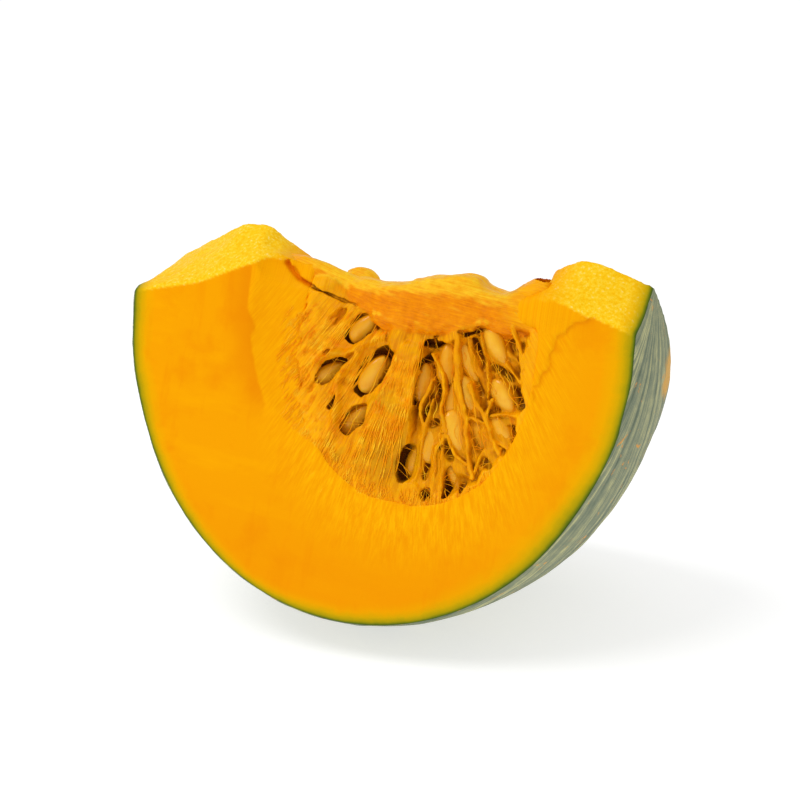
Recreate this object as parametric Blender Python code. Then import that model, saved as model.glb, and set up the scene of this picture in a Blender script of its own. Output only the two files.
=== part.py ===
"""A wedge of green-skinned winter squash, cut from pole to pole and lying on its rind.

The wedge is built in the squash's own frame and then leaned back onto the ground. In that frame
the squash's axis is X, its middle is the origin, the front cut faces -Y and Z points up along the
front cut. The wall is the flesh with its rind, and the pulp is the stringy middle with the seeds.
All sizes are in metres and all angles in degrees.
"""

import math
import random

import bmesh
import bpy
from mathutils import Euler, Matrix, Vector

# The whole squash
HALF_LENGTH_LEFT = 0.1055
HALF_LENGTH_RIGHT = 0.1085
EQUATOR_RADIUS = 0.1205
RIBS = 11
RIB_HEIGHT = 0.0012
FIRST_RIB_ANGLE = 20.0

# The two cuts that make the wedge
FRONT_CUT_Y = -0.037
BACK_CUT_Y = 0.014
BACK_CUT_ANGLE = 45.0

# The top edge of the front cut and the ridge of the back cut, as points of (x, z)
TOP_FRONT_EDGE = [
    (-0.140, -0.0160),
    (-0.094, 0.0015),
    (-0.074, 0.0075),
    (-0.0545, 0.0180),
    (-0.046, 0.0215),
    (0.054, 0.0215),
    (0.060, 0.0235),
    (0.068, 0.0255),
    (0.076, 0.0250),
    (0.087, 0.0210),
    (0.103, 0.0170),
    (0.140, 0.0080),
]
TOP_RIDGE = [
    (-0.150, -0.0300),
    (-0.104, 0.0050),
    (-0.097, 0.0124),
    (-0.085, 0.0194),
    (-0.066, 0.0308),
    (-0.054, 0.0322),
    (-0.048, 0.0275),
    (-0.038, 0.0205),
    (-0.030, 0.0170),
    (0.036, 0.0170),
    (0.050, 0.0235),
    (0.060, 0.0312),
    (0.067, 0.0362),
    (0.075, 0.0404),
    (0.083, 0.0398),
    (0.093, 0.0371),
    (0.104, 0.0336),
    (0.150, 0.0200),
]

# The hollow that the pulp fills, and the shallow dips that the torn flesh leaves round it
CAVITY_CENTRE = (0.0187, 0.0003, -0.0033)
CAVITY_SEMI_AXES = (0.0545, 0.0705, 0.0705)
CAVITY_SQUARENESS = 2.25
DIPS = [
    ((-0.0060, FRONT_CUT_Y - 0.0007, 0.0000), (0.0455, 0.0080, 0.0500)),
    ((0.0410, FRONT_CUT_Y - 0.0007, 0.0043), (0.0360, 0.0024, 0.0460)),
]
PULP_CLEARANCE = 0.0004

# The pulp's own lumps, as (centre, semi-axes, squareness, turn about Y)
BED_DEPTH = 0.0095
BED_TOP_Z = 0.010
CORE_TURN = -8.4
CORE_LUMPS = [
    ((0.0190, -0.0235, 0.0105), (0.0230, 0.0125, 0.0115), 3.0, CORE_TURN),
    ((0.0245, -0.0220, 0.0190), (0.0150, 0.0110, 0.0066), 3.0, -13.0),
    ((0.0430, -0.0225, 0.0145), (0.0175, 0.0125, 0.0085), 2.6, 5.6),
    ((0.0600, -0.0240, 0.0135), (0.0120, 0.0110, 0.0085), 2.6, 11.6),
    ((0.0595, -0.0255, 0.0232), (0.0135, 0.0080, 0.0062), 2.6, -36.0),
    ((0.0125, -0.0300, -0.0030), (0.0062, 0.0060, 0.0064), 2.0, 0.0),
    ((-0.0145, -0.0130, 0.0143), (0.0080, 0.0055, 0.0070), 2.0, 10.0),
    ((0.0140, -0.0040, 0.0040), (0.0420, 0.0200, 0.0125), 2.4, CORE_TURN),
]
BAND_POINTS = [
    (-0.0420, -0.0270, 0.0200),
    (-0.0330, -0.0260, 0.0184),
    (-0.0240, -0.0240, 0.0175),
    (-0.0140, -0.0230, 0.0140),
    (-0.0040, -0.0230, 0.0120),
    (0.0060, -0.0230, 0.0110),
]
BAND_RADIUS = 0.0040

# The fibres, which fan out from the core to the rim of the hollow
FAN_FOCUS = (0.020, -0.0290, 0.002)
FAN_REACH = (0.0450, 0.0620)
FAN_MIDDLE = (0.0185, -0.004)
FRONT_FIBRE_ANGLES = [
    162, 172, 182, 192, 201, 210, 219, 227, 235, 242, 249, 256, 263, 272, 282, 292, 302, 314, 328, 344, 2,
]
FRONT_FIBRE_Y = -0.0325
FIBRE_RADIUS = 0.0021
FIBRE_TIP_RADIUS = 0.0012
FIBRE_BOW = 0.0030
FIBRE_STEPS = 4
BACK_FIBRES = 9
BACK_FIBRE_ARC = (200.0, 345.0)

# The seeds at the front cut, as (x, z, angle of the long axis, depth behind the cut)
SEED_SEMI_AXES = (0.0085, 0.0050, 0.0026)
FRONT_SEEDS = [
    (-0.005, 0.001, 48, 0.0075),
    (-0.017, -0.020, 58, 0.0080),
    (0.002, -0.016, 73, 0.0060),
    (-0.003, -0.037, 68, 0.0080),
    (-0.008, -0.027, 68, 0.0090),
    (0.023, -0.019, 88, 0.0065),
    (0.038, -0.001, -55, 0.0060),
    (0.046, 0.006, -50, 0.0045),
    (0.040, -0.015, -58, 0.0045),
    (0.053, -0.016, -44, 0.0045),
    (0.055, -0.029, -42, 0.0050),
    (0.038, -0.034, -68, 0.0045),
    (0.029, -0.038, 97, 0.0050),
    (0.022, -0.047, 88, 0.0060),
    (0.040, -0.049, -62, 0.0070),
    (0.056, 0.012, -55, 0.0060),
]
BACK_SEEDS = 11
BACK_SEED_ARC = (205.0, 335.0)
BACK_SEED_RINGS = (0.55, 0.80)
SEED_TURN = 22.0

# How the wedge lies on the ground
LEAN_BACK = 14.0
TILT_RIGHT = 4.0
REST_SPOT_DEPTH = 0.0014

# Mesh fineness
BODY_SEGMENTS = 80
BODY_RINGS = 40
CAVITY_SEGMENTS = 48
CAVITY_RINGS = 24
LUMP_SEGMENTS = 14
LUMP_RINGS = 8
SEED_SEGMENTS = 10
SEED_RINGS = 6
CUTTER_SIZE = 0.40
WELD_DISTANCE = 0.000001
WALL_SHARP_ANGLE = 35.0
PULP_SHARP_ANGLE = 50.0
TOP_COLUMNS = 65
TOP_ROWS = 6
TOP_OVERRUN = 6
EASING_SHIFTS = (-0.004, -0.002, 0.0, 0.002, 0.004)
RANDOM_SEED = 7


def clear_scene():
    for item in list(bpy.data.objects):
        bpy.data.objects.remove(item)


def new_collection(name):
    collection = bpy.data.collections.new(name)
    bpy.context.scene.collection.children.link(collection)
    return collection


def remove_collection(collection):
    for item in list(collection.objects):
        bpy.data.objects.remove(item)
    bpy.data.collections.remove(collection)


def new_material(name, colour, roughness):
    material = bpy.data.materials.new(name)
    material.use_nodes = True
    surface = material.node_tree.nodes["Principled BSDF"]
    surface.inputs["Base Color"].default_value = (*colour, 1.0)
    surface.inputs["Roughness"].default_value = roughness
    material.diffuse_color = (*colour, 1.0)
    return material


def object_from(bm, name, collection, material):
    """Turn a bmesh into an object of one material, with flat faces that point outwards."""
    bmesh.ops.triangulate(bm, faces=bm.faces)
    bmesh.ops.recalc_face_normals(bm, faces=bm.faces)
    mesh = bpy.data.meshes.new(name)
    bm.to_mesh(mesh)
    bm.free()
    mesh.materials.append(material)
    item = bpy.data.objects.new(name, mesh)
    collection.objects.link(item)
    return item


def squash_point(direction):
    """The place on the whole squash's rind in a direction, with its shallow ribs."""
    half_length = HALF_LENGTH_RIGHT if direction.x > 0 else HALF_LENGTH_LEFT
    around = math.atan2(direction.z, direction.y) - math.radians(FIRST_RIB_ANGLE)
    radius = EQUATOR_RADIUS + RIB_HEIGHT * math.cos(RIBS * around)
    return Vector((direction.x * half_length, direction.y * radius, direction.z * radius))


def make_whole_squash(collection, rind):
    bm = bmesh.new()
    bmesh.ops.create_uvsphere(bm, u_segments=BODY_SEGMENTS, v_segments=BODY_RINGS, radius=1.0)
    bmesh.ops.rotate(bm, verts=bm.verts, matrix=Matrix.Rotation(math.radians(90.0), 3, "Y"))
    for vertex in bm.verts:
        vertex.co = squash_point(vertex.co)
    return object_from(bm, "wall", collection, rind)


def make_lump(name, collection, material, centre, semi_axes, squareness, turn, segments, rings, scale=1.0):
    """A closed ellipsoid, squared up a little, with its poles along X."""
    bm = bmesh.new()
    bmesh.ops.create_uvsphere(bm, u_segments=segments, v_segments=rings, radius=1.0)
    bmesh.ops.rotate(bm, verts=bm.verts, matrix=Matrix.Rotation(math.radians(90.0), 3, "Y"))
    for vertex in bm.verts:
        size = sum(abs(part) ** squareness for part in vertex.co) ** (1.0 / squareness)
        vertex.co = Vector([part / size * axis * scale for part, axis in zip(vertex.co, semi_axes)])
    placing = Matrix.Translation(centre) @ Matrix.Rotation(math.radians(turn), 4, "Y")
    bmesh.ops.transform(bm, verts=bm.verts, matrix=placing)
    return object_from(bm, name, collection, material)


def make_cavity(name, collection, material, scale=1.0):
    """The hollow in the middle, as a solid."""
    return make_lump(
        name, collection, material, CAVITY_CENTRE, CAVITY_SEMI_AXES, CAVITY_SQUARENESS, 0.0,
        CAVITY_SEGMENTS, CAVITY_RINGS, scale,
    )


def make_dip_cutters(collection, material):
    """The shallow dips that the torn flesh leaves round the hollow on the front cut."""
    for centre, semi_axes in DIPS:
        make_lump("dip_cutter", collection, material, centre, semi_axes, 2.0, 0.0, CAVITY_SEGMENTS, CAVITY_RINGS)


def make_cut_block(name, collection, material, point, lean):
    """A big block whose -Y side passes through a point and leans by an angle about X."""
    bm = bmesh.new()
    bmesh.ops.create_cube(bm, size=CUTTER_SIZE)
    bmesh.ops.translate(bm, verts=bm.verts, vec=(0.0, CUTTER_SIZE / 2, 0.0))
    placing = Matrix.Translation(point) @ Matrix.Rotation(math.radians(lean), 4, "X")
    bmesh.ops.transform(bm, verts=bm.verts, matrix=placing)
    return object_from(bm, name, collection, material)


def make_front_cutter(collection, material, depth=0.0):
    """The block that takes away all in front of the front cut, or a depth behind it."""
    return make_cut_block("front_cutter", collection, material, (0.0, FRONT_CUT_Y + depth, 0.0), 180.0)


def make_back_cutter(collection, material, depth=0.0):
    """The block that takes away all behind the back cut, or a depth in front of it."""
    across = BACK_CUT_Y - depth / math.cos(math.radians(BACK_CUT_ANGLE))
    return make_cut_block("back_cutter", collection, material, (0.0, across, 0.0), BACK_CUT_ANGLE)


def height_along(points, x):
    """The height at x of a line through points of (x, z), eased round its corners."""
    total = 0.0
    for shift in EASING_SHIFTS:
        place = x + shift
        for (x0, z0), (x1, z1) in zip(points, points[1:]):
            if place <= x1:
                break
        total += z0 + (z1 - z0) * (place - x0) / (x1 - x0)
    return total / len(EASING_SHIFTS)


def ridge_y(height):
    """How far back the back cut is at a height."""
    return BACK_CUT_Y - height * math.tan(math.radians(BACK_CUT_ANGLE))


def top_line(x):
    """The points of the broken top at x, from before the front cut to behind the back cut."""
    front = Vector((x, FRONT_CUT_Y, height_along(TOP_FRONT_EDGE, x)))
    ridge_height = height_along(TOP_RIDGE, x)
    ridge = Vector((x, ridge_y(ridge_height), ridge_height))
    shares = [step / TOP_ROWS for step in range(-TOP_OVERRUN, TOP_ROWS + TOP_OVERRUN + 1)]
    return [front.lerp(ridge, share) for share in shares]


def make_top_cutter(collection, material):
    """A block whose underside spans from the top edge of the front cut to the ridge of the back cut."""
    start = TOP_FRONT_EDGE[0][0]
    width = TOP_FRONT_EDGE[-1][0] - start
    roof = CUTTER_SIZE / 2
    bm = bmesh.new()
    sections = []
    for column in range(TOP_COLUMNS + 1):
        line = top_line(start + width * column / TOP_COLUMNS)
        under = [bm.verts.new(point) for point in line]
        over = [bm.verts.new((point.x, point.y, roof)) for point in line]
        sections.append((under, over))
    for (under, over), (next_under, next_over) in zip(sections, sections[1:]):
        for here in range(len(under) - 1):
            there = here + 1
            bm.faces.new((under[here], under[there], next_under[there], next_under[here]))
            bm.faces.new((over[here], over[there], next_over[there], next_over[here]))
        for end in (0, -1):
            bm.faces.new((under[end], over[end], next_over[end], next_under[end]))
    for under, over in (sections[0], sections[-1]):
        for here in range(len(under) - 1):
            bm.faces.new((under[here], under[here + 1], over[here + 1], over[here]))
    return object_from(bm, "top_cutter", collection, material)


def combine(item, others, operation, solver="EXACT"):
    """Combine an object with all those of a collection at once, with their materials on their faces."""
    step = item.modifiers.new(others.name, "BOOLEAN")
    step.operation = operation
    step.solver = solver
    step.operand_type = "COLLECTION"
    step.collection = others
    step.material_mode = "TRANSFER"
    apply_modifiers(item)


def apply_modifiers(item):
    graph = bpy.context.evaluated_depsgraph_get()
    made = bpy.data.meshes.new_from_object(item.evaluated_get(graph))
    made.name = item.name
    item.modifiers.clear()
    item.data = made


def keep_largest_piece(item):
    """Drop the loose scraps and the sealed hollows that cutting and joining leave."""
    bm = bmesh.new()
    bm.from_mesh(item.data)
    bmesh.ops.remove_doubles(bm, verts=bm.verts, dist=WELD_DISTANCE)
    waiting = set(bm.faces)
    pieces = []
    while waiting:
        piece = []
        edge_of_piece = [waiting.pop()]
        while edge_of_piece:
            face = edge_of_piece.pop()
            piece.append(face)
            around = {other for edge in face.edges for other in edge.link_faces} & waiting
            waiting -= around
            edge_of_piece.extend(around)
        pieces.append(piece)
    pieces.sort(key=len)
    for scrap in pieces[:-1]:
        bmesh.ops.delete(bm, geom=scrap, context="FACES")
    loose = [vertex for vertex in bm.verts if not vertex.link_faces]
    bmesh.ops.delete(bm, geom=loose, context="VERTS")
    bm.to_mesh(item.data)
    bm.free()


def shade_smooth(item, sharp_angle):
    item.data.shade_smooth()
    item.data.set_sharp_from_angle(angle=math.radians(sharp_angle))


def make_wall(parts, rind, flesh):
    """The flesh and its rind, with both cuts, the broken top and the hollow in the middle."""
    wall = make_whole_squash(parts, rind)
    cutters = new_collection("wall_cutters")
    make_front_cutter(cutters, flesh)
    make_back_cutter(cutters, flesh)
    make_top_cutter(cutters, flesh)
    make_cavity("cavity_cutter", cutters, flesh)
    make_dip_cutters(cutters, flesh)
    combine(wall, cutters, "DIFFERENCE")
    remove_collection(cutters)
    keep_largest_piece(wall)
    shade_smooth(wall, WALL_SHARP_ANGLE)
    return wall


def make_fibre(name, collection, material, points, radii):
    """A tapering strand along points, closed at both ends."""
    line = bpy.data.curves.new(name, "CURVE")
    line.dimensions = "3D"
    line.bevel_depth = 1.0
    line.bevel_resolution = 0
    line.use_fill_caps = True
    path = line.splines.new("POLY")
    path.points.add(len(points) - 1)
    for knot, point, radius in zip(path.points, points, radii):
        knot.co = (*point, 1.0)
        knot.radius = radius
    guide = bpy.data.objects.new(name, line)
    collection.objects.link(guide)
    graph = bpy.context.evaluated_depsgraph_get()
    made = bpy.data.meshes.new_from_object(guide.evaluated_get(graph))
    bpy.data.objects.remove(guide)
    bm = bmesh.new()
    bm.from_mesh(made)
    bmesh.ops.remove_doubles(bm, verts=bm.verts, dist=1e-6)
    return object_from(bm, name, collection, material)


def fan_point(angle, share, y):
    """A place on a fibre of the fan, a share of the way from the focus to the hollow's rim."""
    turn = math.radians(angle)
    rim_x = FAN_MIDDLE[0] + FAN_REACH[0] * math.cos(turn)
    rim_z = FAN_MIDDLE[1] + FAN_REACH[1] * math.sin(turn)
    x = FAN_FOCUS[0] + (rim_x - FAN_FOCUS[0]) * share
    z = FAN_FOCUS[2] + (rim_z - FAN_FOCUS[2]) * share
    return Vector((x, y, z))


def fibre_line(angle, start_y, y, bow):
    """The points of a fibre that bows sideways and runs from the core to the rim."""
    side = Vector((-math.sin(math.radians(angle)), 0.0, math.cos(math.radians(angle))))
    points = []
    for step in range(FIBRE_STEPS + 1):
        share = step / FIBRE_STEPS
        depth = start_y + (y - start_y) * min(1.0, share * 2.0)
        points.append(fan_point(angle, 0.12 + 0.95 * share, depth) + side * bow * math.sin(math.pi * share))
    return points


def to_back_cut(point):
    """Take a place that is drawn against the front cut to the matching place at the back cut."""
    from_front = Matrix.Translation((0.0, -FRONT_CUT_Y, 0.0))
    turn = Matrix.Rotation(math.radians(BACK_CUT_ANGLE), 4, "X")
    flip = Matrix.Scale(-1.0, 4, (0.0, 1.0, 0.0))
    return Matrix.Translation((0.0, BACK_CUT_Y, 0.0)) @ turn @ flip @ from_front @ point


def add_fibres(extras, material, chance):
    """Strands on the front cut at their seen angles, and on the back cut spread evenly."""
    radii = [FIBRE_RADIUS + (FIBRE_TIP_RADIUS - FIBRE_RADIUS) * step / FIBRE_STEPS for step in range(FIBRE_STEPS + 1)]
    for angle in FRONT_FIBRE_ANGLES:
        bow = FIBRE_BOW * chance.uniform(-1.0, 1.0)
        line = fibre_line(angle, FAN_FOCUS[1], FRONT_FIBRE_Y, bow)
        make_fibre("front_fibre", extras, material, line, radii)
    first, last = BACK_FIBRE_ARC
    for number in range(BACK_FIBRES):
        angle = first + (last - first) * (number + chance.uniform(-0.2, 0.2)) / (BACK_FIBRES - 1)
        line = fibre_line(angle, FAN_FOCUS[1], FRONT_FIBRE_Y, FIBRE_BOW * chance.uniform(-1.0, 1.0))
        make_fibre("back_fibre", extras, material, [to_back_cut(point) for point in line], radii)


def make_seed(collection, material, centre, angle, turn, at_back):
    bm = bmesh.new()
    bmesh.ops.create_uvsphere(bm, u_segments=SEED_SEGMENTS, v_segments=SEED_RINGS, radius=1.0)
    bmesh.ops.rotate(bm, verts=bm.verts, matrix=Matrix.Rotation(math.radians(90.0), 3, "Y"))
    length, width, thickness = SEED_SEMI_AXES
    for vertex in bm.verts:
        point_of_seed = 1.0 - 0.25 * vertex.co.x
        vertex.co = Vector((vertex.co.x * length, vertex.co.y * thickness, vertex.co.z * width * point_of_seed))
    lay = Euler((math.radians(turn), -math.radians(angle), 0.0)).to_matrix().to_4x4()
    bmesh.ops.transform(bm, verts=bm.verts, matrix=Matrix.Translation(centre) @ lay)
    if at_back:
        for vertex in bm.verts:
            vertex.co = to_back_cut(vertex.co)
    return object_from(bm, "seed", collection, material)


def add_seeds(extras, material, chance):
    """Seeds on the front cut at their seen places, and on the back cut in two rings by rule."""
    for x, z, angle, depth in FRONT_SEEDS:
        centre = Vector((x, FRONT_CUT_Y + depth, z))
        make_seed(extras, material, centre, angle, SEED_TURN * chance.uniform(-1.0, 1.0), False)
    first, last = BACK_SEED_ARC
    for number in range(BACK_SEEDS):
        angle = first + (last - first) * (number + 0.5) / BACK_SEEDS
        share = BACK_SEED_RINGS[number % len(BACK_SEED_RINGS)]
        centre = fan_point(angle, share, FRONT_CUT_Y + 0.006)
        make_seed(extras, material, centre, angle, SEED_TURN * chance.uniform(-1.0, 1.0), True)


def make_pulp(parts, pulp_colour, seed_colour):
    """The stringy middle and its seeds, fused into one body that just clears the wall."""
    chance = random.Random(RANDOM_SEED)
    room_scale = 1.0 - PULP_CLEARANCE / min(CAVITY_SEMI_AXES)
    pulp = make_cavity("pulp", parts, pulp_colour, room_scale)
    bed_cutters = new_collection("bed_cutters")
    make_front_cutter(bed_cutters, pulp_colour, BED_DEPTH)
    make_back_cutter(bed_cutters, pulp_colour, BED_DEPTH)
    make_cut_block("bed_top_cutter", bed_cutters, pulp_colour, (0.0, 0.0, BED_TOP_Z), 90.0)
    combine(pulp, bed_cutters, "DIFFERENCE")

    extras = new_collection("pulp_extras")
    for centre, semi_axes, squareness, turn in CORE_LUMPS:
        make_lump("core_lump", extras, pulp_colour, centre, semi_axes, squareness, turn, LUMP_SEGMENTS, LUMP_RINGS)
    make_fibre("band", extras, pulp_colour, BAND_POINTS, [BAND_RADIUS] * len(BAND_POINTS))
    add_fibres(extras, pulp_colour, chance)
    add_seeds(extras, seed_colour, chance)
    combine(pulp, extras, "UNION", solver="MANIFOLD")

    room = new_collection("pulp_room")
    make_cavity("pulp_room", room, pulp_colour, room_scale)
    combine(pulp, room, "INTERSECT", solver="MANIFOLD")
    keep_largest_piece(pulp)
    shade_smooth(pulp, PULP_SHARP_ANGLE)
    for used in (bed_cutters, extras, room):
        remove_collection(used)
    return pulp


def lowest_and_middle(items):
    """The lowest height of some objects, and the middle of their box."""
    places = [item.matrix_world @ vertex.co for item in items for vertex in item.data.vertices]
    low = Vector([min(place[axis] for place in places) for axis in range(3)])
    high = Vector([max(place[axis] for place in places) for axis in range(3)])
    return low.z, (low + high) / 2


def lie_on_ground(wall, pulp, rind):
    """Lean the wedge back, flatten the spot it rests on and put the box's bottom middle at the origin."""
    holder = bpy.data.objects.new("wedge_holder", None)
    bpy.context.scene.collection.objects.link(holder)
    holder.rotation_euler = (math.radians(-LEAN_BACK), math.radians(TILT_RIGHT), 0.0)
    wall.parent = holder
    pulp.parent = holder
    bpy.context.view_layer.update()
    lowest, middle = lowest_and_middle([wall, pulp])
    ground = lowest + REST_SPOT_DEPTH

    below = new_collection("below_ground")
    bm = bmesh.new()
    bmesh.ops.create_cube(bm, size=CUTTER_SIZE)
    bmesh.ops.translate(bm, verts=bm.verts, vec=(0.0, 0.0, ground - CUTTER_SIZE / 2))
    object_from(bm, "ground_cutter", below, rind)
    combine(wall, below, "DIFFERENCE")
    remove_collection(below)
    shade_smooth(wall, WALL_SHARP_ANGLE)
    holder.location = (-middle.x, -middle.y, -ground)


def main():
    clear_scene()
    parts = new_collection("squash_wedge")
    rind = new_material("rind", (0.10, 0.17, 0.09), 0.55)
    flesh = new_material("flesh", (0.90, 0.38, 0.02), 0.45)
    pulp_colour = new_material("pulp", (0.85, 0.28, 0.02), 0.40)
    seed_colour = new_material("seed", (0.86, 0.62, 0.25), 0.35)
    wall = make_wall(parts, rind, flesh)
    pulp = make_pulp(parts, pulp_colour, seed_colour)
    lie_on_ground(wall, pulp, rind)


main()
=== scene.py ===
"""A wedge of green-skinned winter squash, with its torn pulp, fibres and seeds.

Every piece is made in the squash's own frame, the one that the solids were drawn in: X runs from
pole to pole, the front cut faces -Y, Z points up along the front cut and the origin is the middle
of the squash. HOLDER then lays each mesh down as the solids lie. Sizes are in metres and angles
in degrees, and attributes on the meshes are in millimetres.
"""

import math

import bpy
import numpy as np
from mathutils import Euler, Matrix, Vector


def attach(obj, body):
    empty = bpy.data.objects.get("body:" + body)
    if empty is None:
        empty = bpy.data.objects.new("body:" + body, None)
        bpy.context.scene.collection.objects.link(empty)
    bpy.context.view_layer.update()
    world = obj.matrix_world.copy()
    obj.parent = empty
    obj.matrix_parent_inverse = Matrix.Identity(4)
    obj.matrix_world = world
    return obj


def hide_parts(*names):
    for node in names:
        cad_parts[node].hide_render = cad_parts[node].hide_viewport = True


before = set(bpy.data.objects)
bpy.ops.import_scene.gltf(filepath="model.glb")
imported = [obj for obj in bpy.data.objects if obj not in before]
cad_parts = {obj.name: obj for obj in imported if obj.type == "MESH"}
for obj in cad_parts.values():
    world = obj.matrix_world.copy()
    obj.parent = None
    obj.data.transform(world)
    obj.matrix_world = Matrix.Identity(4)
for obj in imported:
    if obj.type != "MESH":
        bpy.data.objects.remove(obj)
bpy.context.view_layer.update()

# How the wedge lies on the ground
LEAN_BACK = 14.0
TILT_RIGHT = 4.0
HOLDER_PLACE = (-0.001487, -0.003392, 0.120157)
HOLDER_TURNS = (math.radians(-LEAN_BACK), math.radians(TILT_RIGHT), 0.0)
HOLDER = Matrix.Translation(HOLDER_PLACE) @ Euler(HOLDER_TURNS).to_matrix().to_4x4()
REST_CLEARANCE = 0.00005

# The camera, as turns about the squash and the eye's place along its own axes
CAMERA_TURN = 17.08
CAMERA_RISE = 9.06
CAMERA_ROLL = 8.31
CAMERA_DISTANCE = 0.8883
CAMERA_ACROSS = -0.0006
CAMERA_UP = -0.0303
CAMERA_LENS = 100.0
CAMERA_SENSOR = 36.0

# The whole squash
HALF_LENGTH_LEFT = 0.1055
HALF_LENGTH_RIGHT = 0.1085
EQUATOR_RADIUS = 0.1205
RIBS = 11
RIB_HEIGHT = 0.0010
FIRST_RIB_ANGLE = 20.0

# The turns of the rind's streaks off the poles, in radians, and the middle of its tan patch
STREAK_TURNS = (0.0, 0.31, 0.18)
PATCH_PLACE = (0.1080, 0.0080, 0.0005)

# The two cuts and the broken top: its front edge and its ridge as points of (x, z), and how much
# less than its height above the top a place's distance to it is
FRONT_CUT_Y = -0.037
BACK_CUT_Y = 0.014
BACK_CUT_ANGLE = 45.0
TOP_FRONT_EDGE = [
    (-0.140, -0.0160), (-0.094, 0.0015), (-0.074, 0.0075), (-0.0545, 0.0180), (-0.046, 0.0215),
    (0.054, 0.0215), (0.060, 0.0235), (0.068, 0.0255), (0.076, 0.0250), (0.087, 0.0210),
    (0.103, 0.0170), (0.140, 0.0080),
]
TOP_RIDGE = [
    (-0.150, -0.0300), (-0.104, 0.0050), (-0.097, 0.0124), (-0.085, 0.0194), (-0.066, 0.0308),
    (-0.054, 0.0322), (-0.048, 0.0275), (-0.038, 0.0205), (-0.030, 0.0170), (0.036, 0.0170),
    (0.050, 0.0235), (0.060, 0.0312), (0.067, 0.0362), (0.075, 0.0404), (0.083, 0.0398),
    (0.093, 0.0371), (0.104, 0.0336), (0.150, 0.0200),
]
EASING_SHIFTS = (-0.002, -0.001, 0.0, 0.001, 0.002)
TOP_SLOPE_SHARE = 0.87

# The hollow, and the dips round it as ((x, z), semi-axes, depth)
CAVITY_CENTRE = (0.0187, 0.0003, -0.0033)
CAVITY_SEMI_AXES = (0.0545, 0.0705, 0.0705)
CAVITY_SQUARENESS = 2.25
WALL_CAVITY_SCALE = 0.965
DIPS = [
    ((-0.0060, 0.0000), (0.0455, 0.0500), 0.0076),
    ((0.0410, 0.0043), (0.0360, 0.0460), 0.0018),
    ((-0.0290, 0.0220), (0.0225, 0.0150), 0.0085),
]
DIP_FALL = 0.75

# The raised flesh on the right arm, as an outline of (x, z) in millimetres
STEP_OUTLINE = [
    (88, 30), (85, 22), (83, 18), (79, 16), (76, 12), (73, 10), (73, 6), (71, 3), (70, -2), (70, -6),
    (68, -10), (68, -14), (66, -17), (50, -20), (40, -10), (40, 30),
]
STEP_HEIGHT = 0.0008

# The fold on the left arm that the torn flesh ends at, as (x, z) in millimetres from the bottom up
FOLD = [(-40, -36), (-46, -24), (-49, -12), (-51, 0), (-53, 12), (-54, 24)]
FOLD_REACH = 0.014

# The torn flesh on the inside of the right arm, as (centre, semi-axes, squareness, turn about Y)
SHOULDER = ((0.0665, -0.0275, 0.0185), (0.0150, 0.0090, 0.0080), 2.6, -8.0)

# The pulp's lumps, as (centre, semi-axes, squareness, turn about Y), how softly they run together,
# and where the core's fibres bend
CORE_LUMPS = [
    ((-0.0010, -0.0235, 0.0115), (0.0140, 0.0080, 0.0065), 2.6, 9.0),
    ((0.0190, -0.0235, 0.0118), (0.0225, 0.0120, 0.0098), 4.0, -8.4),
    ((0.0245, -0.0220, 0.0190), (0.0150, 0.0106, 0.0063), 3.4, -13.0),
    ((0.0430, -0.0225, 0.0145), (0.0170, 0.0120, 0.0082), 3.4, 5.6),
    ((0.0600, -0.0240, 0.0145), (0.0115, 0.0106, 0.0074), 3.0, 11.6),
    ((0.0595, -0.0255, 0.0232), (0.0135, 0.0080, 0.0062), 2.6, -36.0),
    ((-0.0145, -0.0130, 0.0143), (0.0080, 0.0055, 0.0070), 2.0, 10.0),
    ((0.0140, -0.0040, 0.0040), (0.0420, 0.0200, 0.0125), 2.4, -8.4),
]
CORE_BLEND = 0.0035
CORE_BEND_X = 0.004
KNOBS = [
    ((0.0098, -0.0300, 0.0005), (0.0042, 0.0052, 0.0078), 2.2, 16.0),
    ((0.0146, -0.0312, -0.0052), (0.0052, 0.0046, 0.0038), 2.2, -32.0),
    ((0.0165, -0.0300, 0.0010), (0.0034, 0.0040, 0.0050), 2.0, 0.0),
]
BAND_POINTS = [
    (-0.0440, -0.0190, 0.0180),
    (-0.0350, -0.0242, 0.0182),
    (-0.0240, -0.0236, 0.0162),
    (-0.0140, -0.0228, 0.0133),
    (-0.0040, -0.0228, 0.0115),
    (0.0060, -0.0228, 0.0108),
]
BAND_RADIUS = 0.0046

# The crack under the band, as (x, z) in millimetres, and its half width at its two ends
CRACK = [(-40.5, 19.5), (-35, 14.4), (-29, 12.4), (-24, 11), (-18, 9.3), (-14, 8.5), (-6, 8.3)]
CRACK_HALF_WIDTHS = (0.0010, 0.0004)
CRACK_DEPTH = 0.0026

# How the fibres lean, by where each starts below the core, and how that start is searched for
FIBRE_TOP_Z = 0.012
FIBRE_SEARCH = 0.06
FIBRE_HALVINGS = 16
LEAN_MIDDLE = 0.10
LEAN_SWING = 0.75
LEAN_START = 0.024
LEAN_WIDTH = 0.022

# The open part of the pulp on the right, as an outline of (x, z) in millimetres
OPEN_OUTLINE = [
    (20, -7), (21, -19), (21, -25), (19, -31), (19, -38), (18, -45), (18, -51), (21, -55), (31, -60),
    (41, -57), (49, -51), (55, -45), (63, -32), (64, -20), (62, -11), (61, 3), (62, 12), (54, 16),
    (43, 9), (32, 2), (20, -3),
]
OPEN_DEPTH = 0.0042

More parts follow.
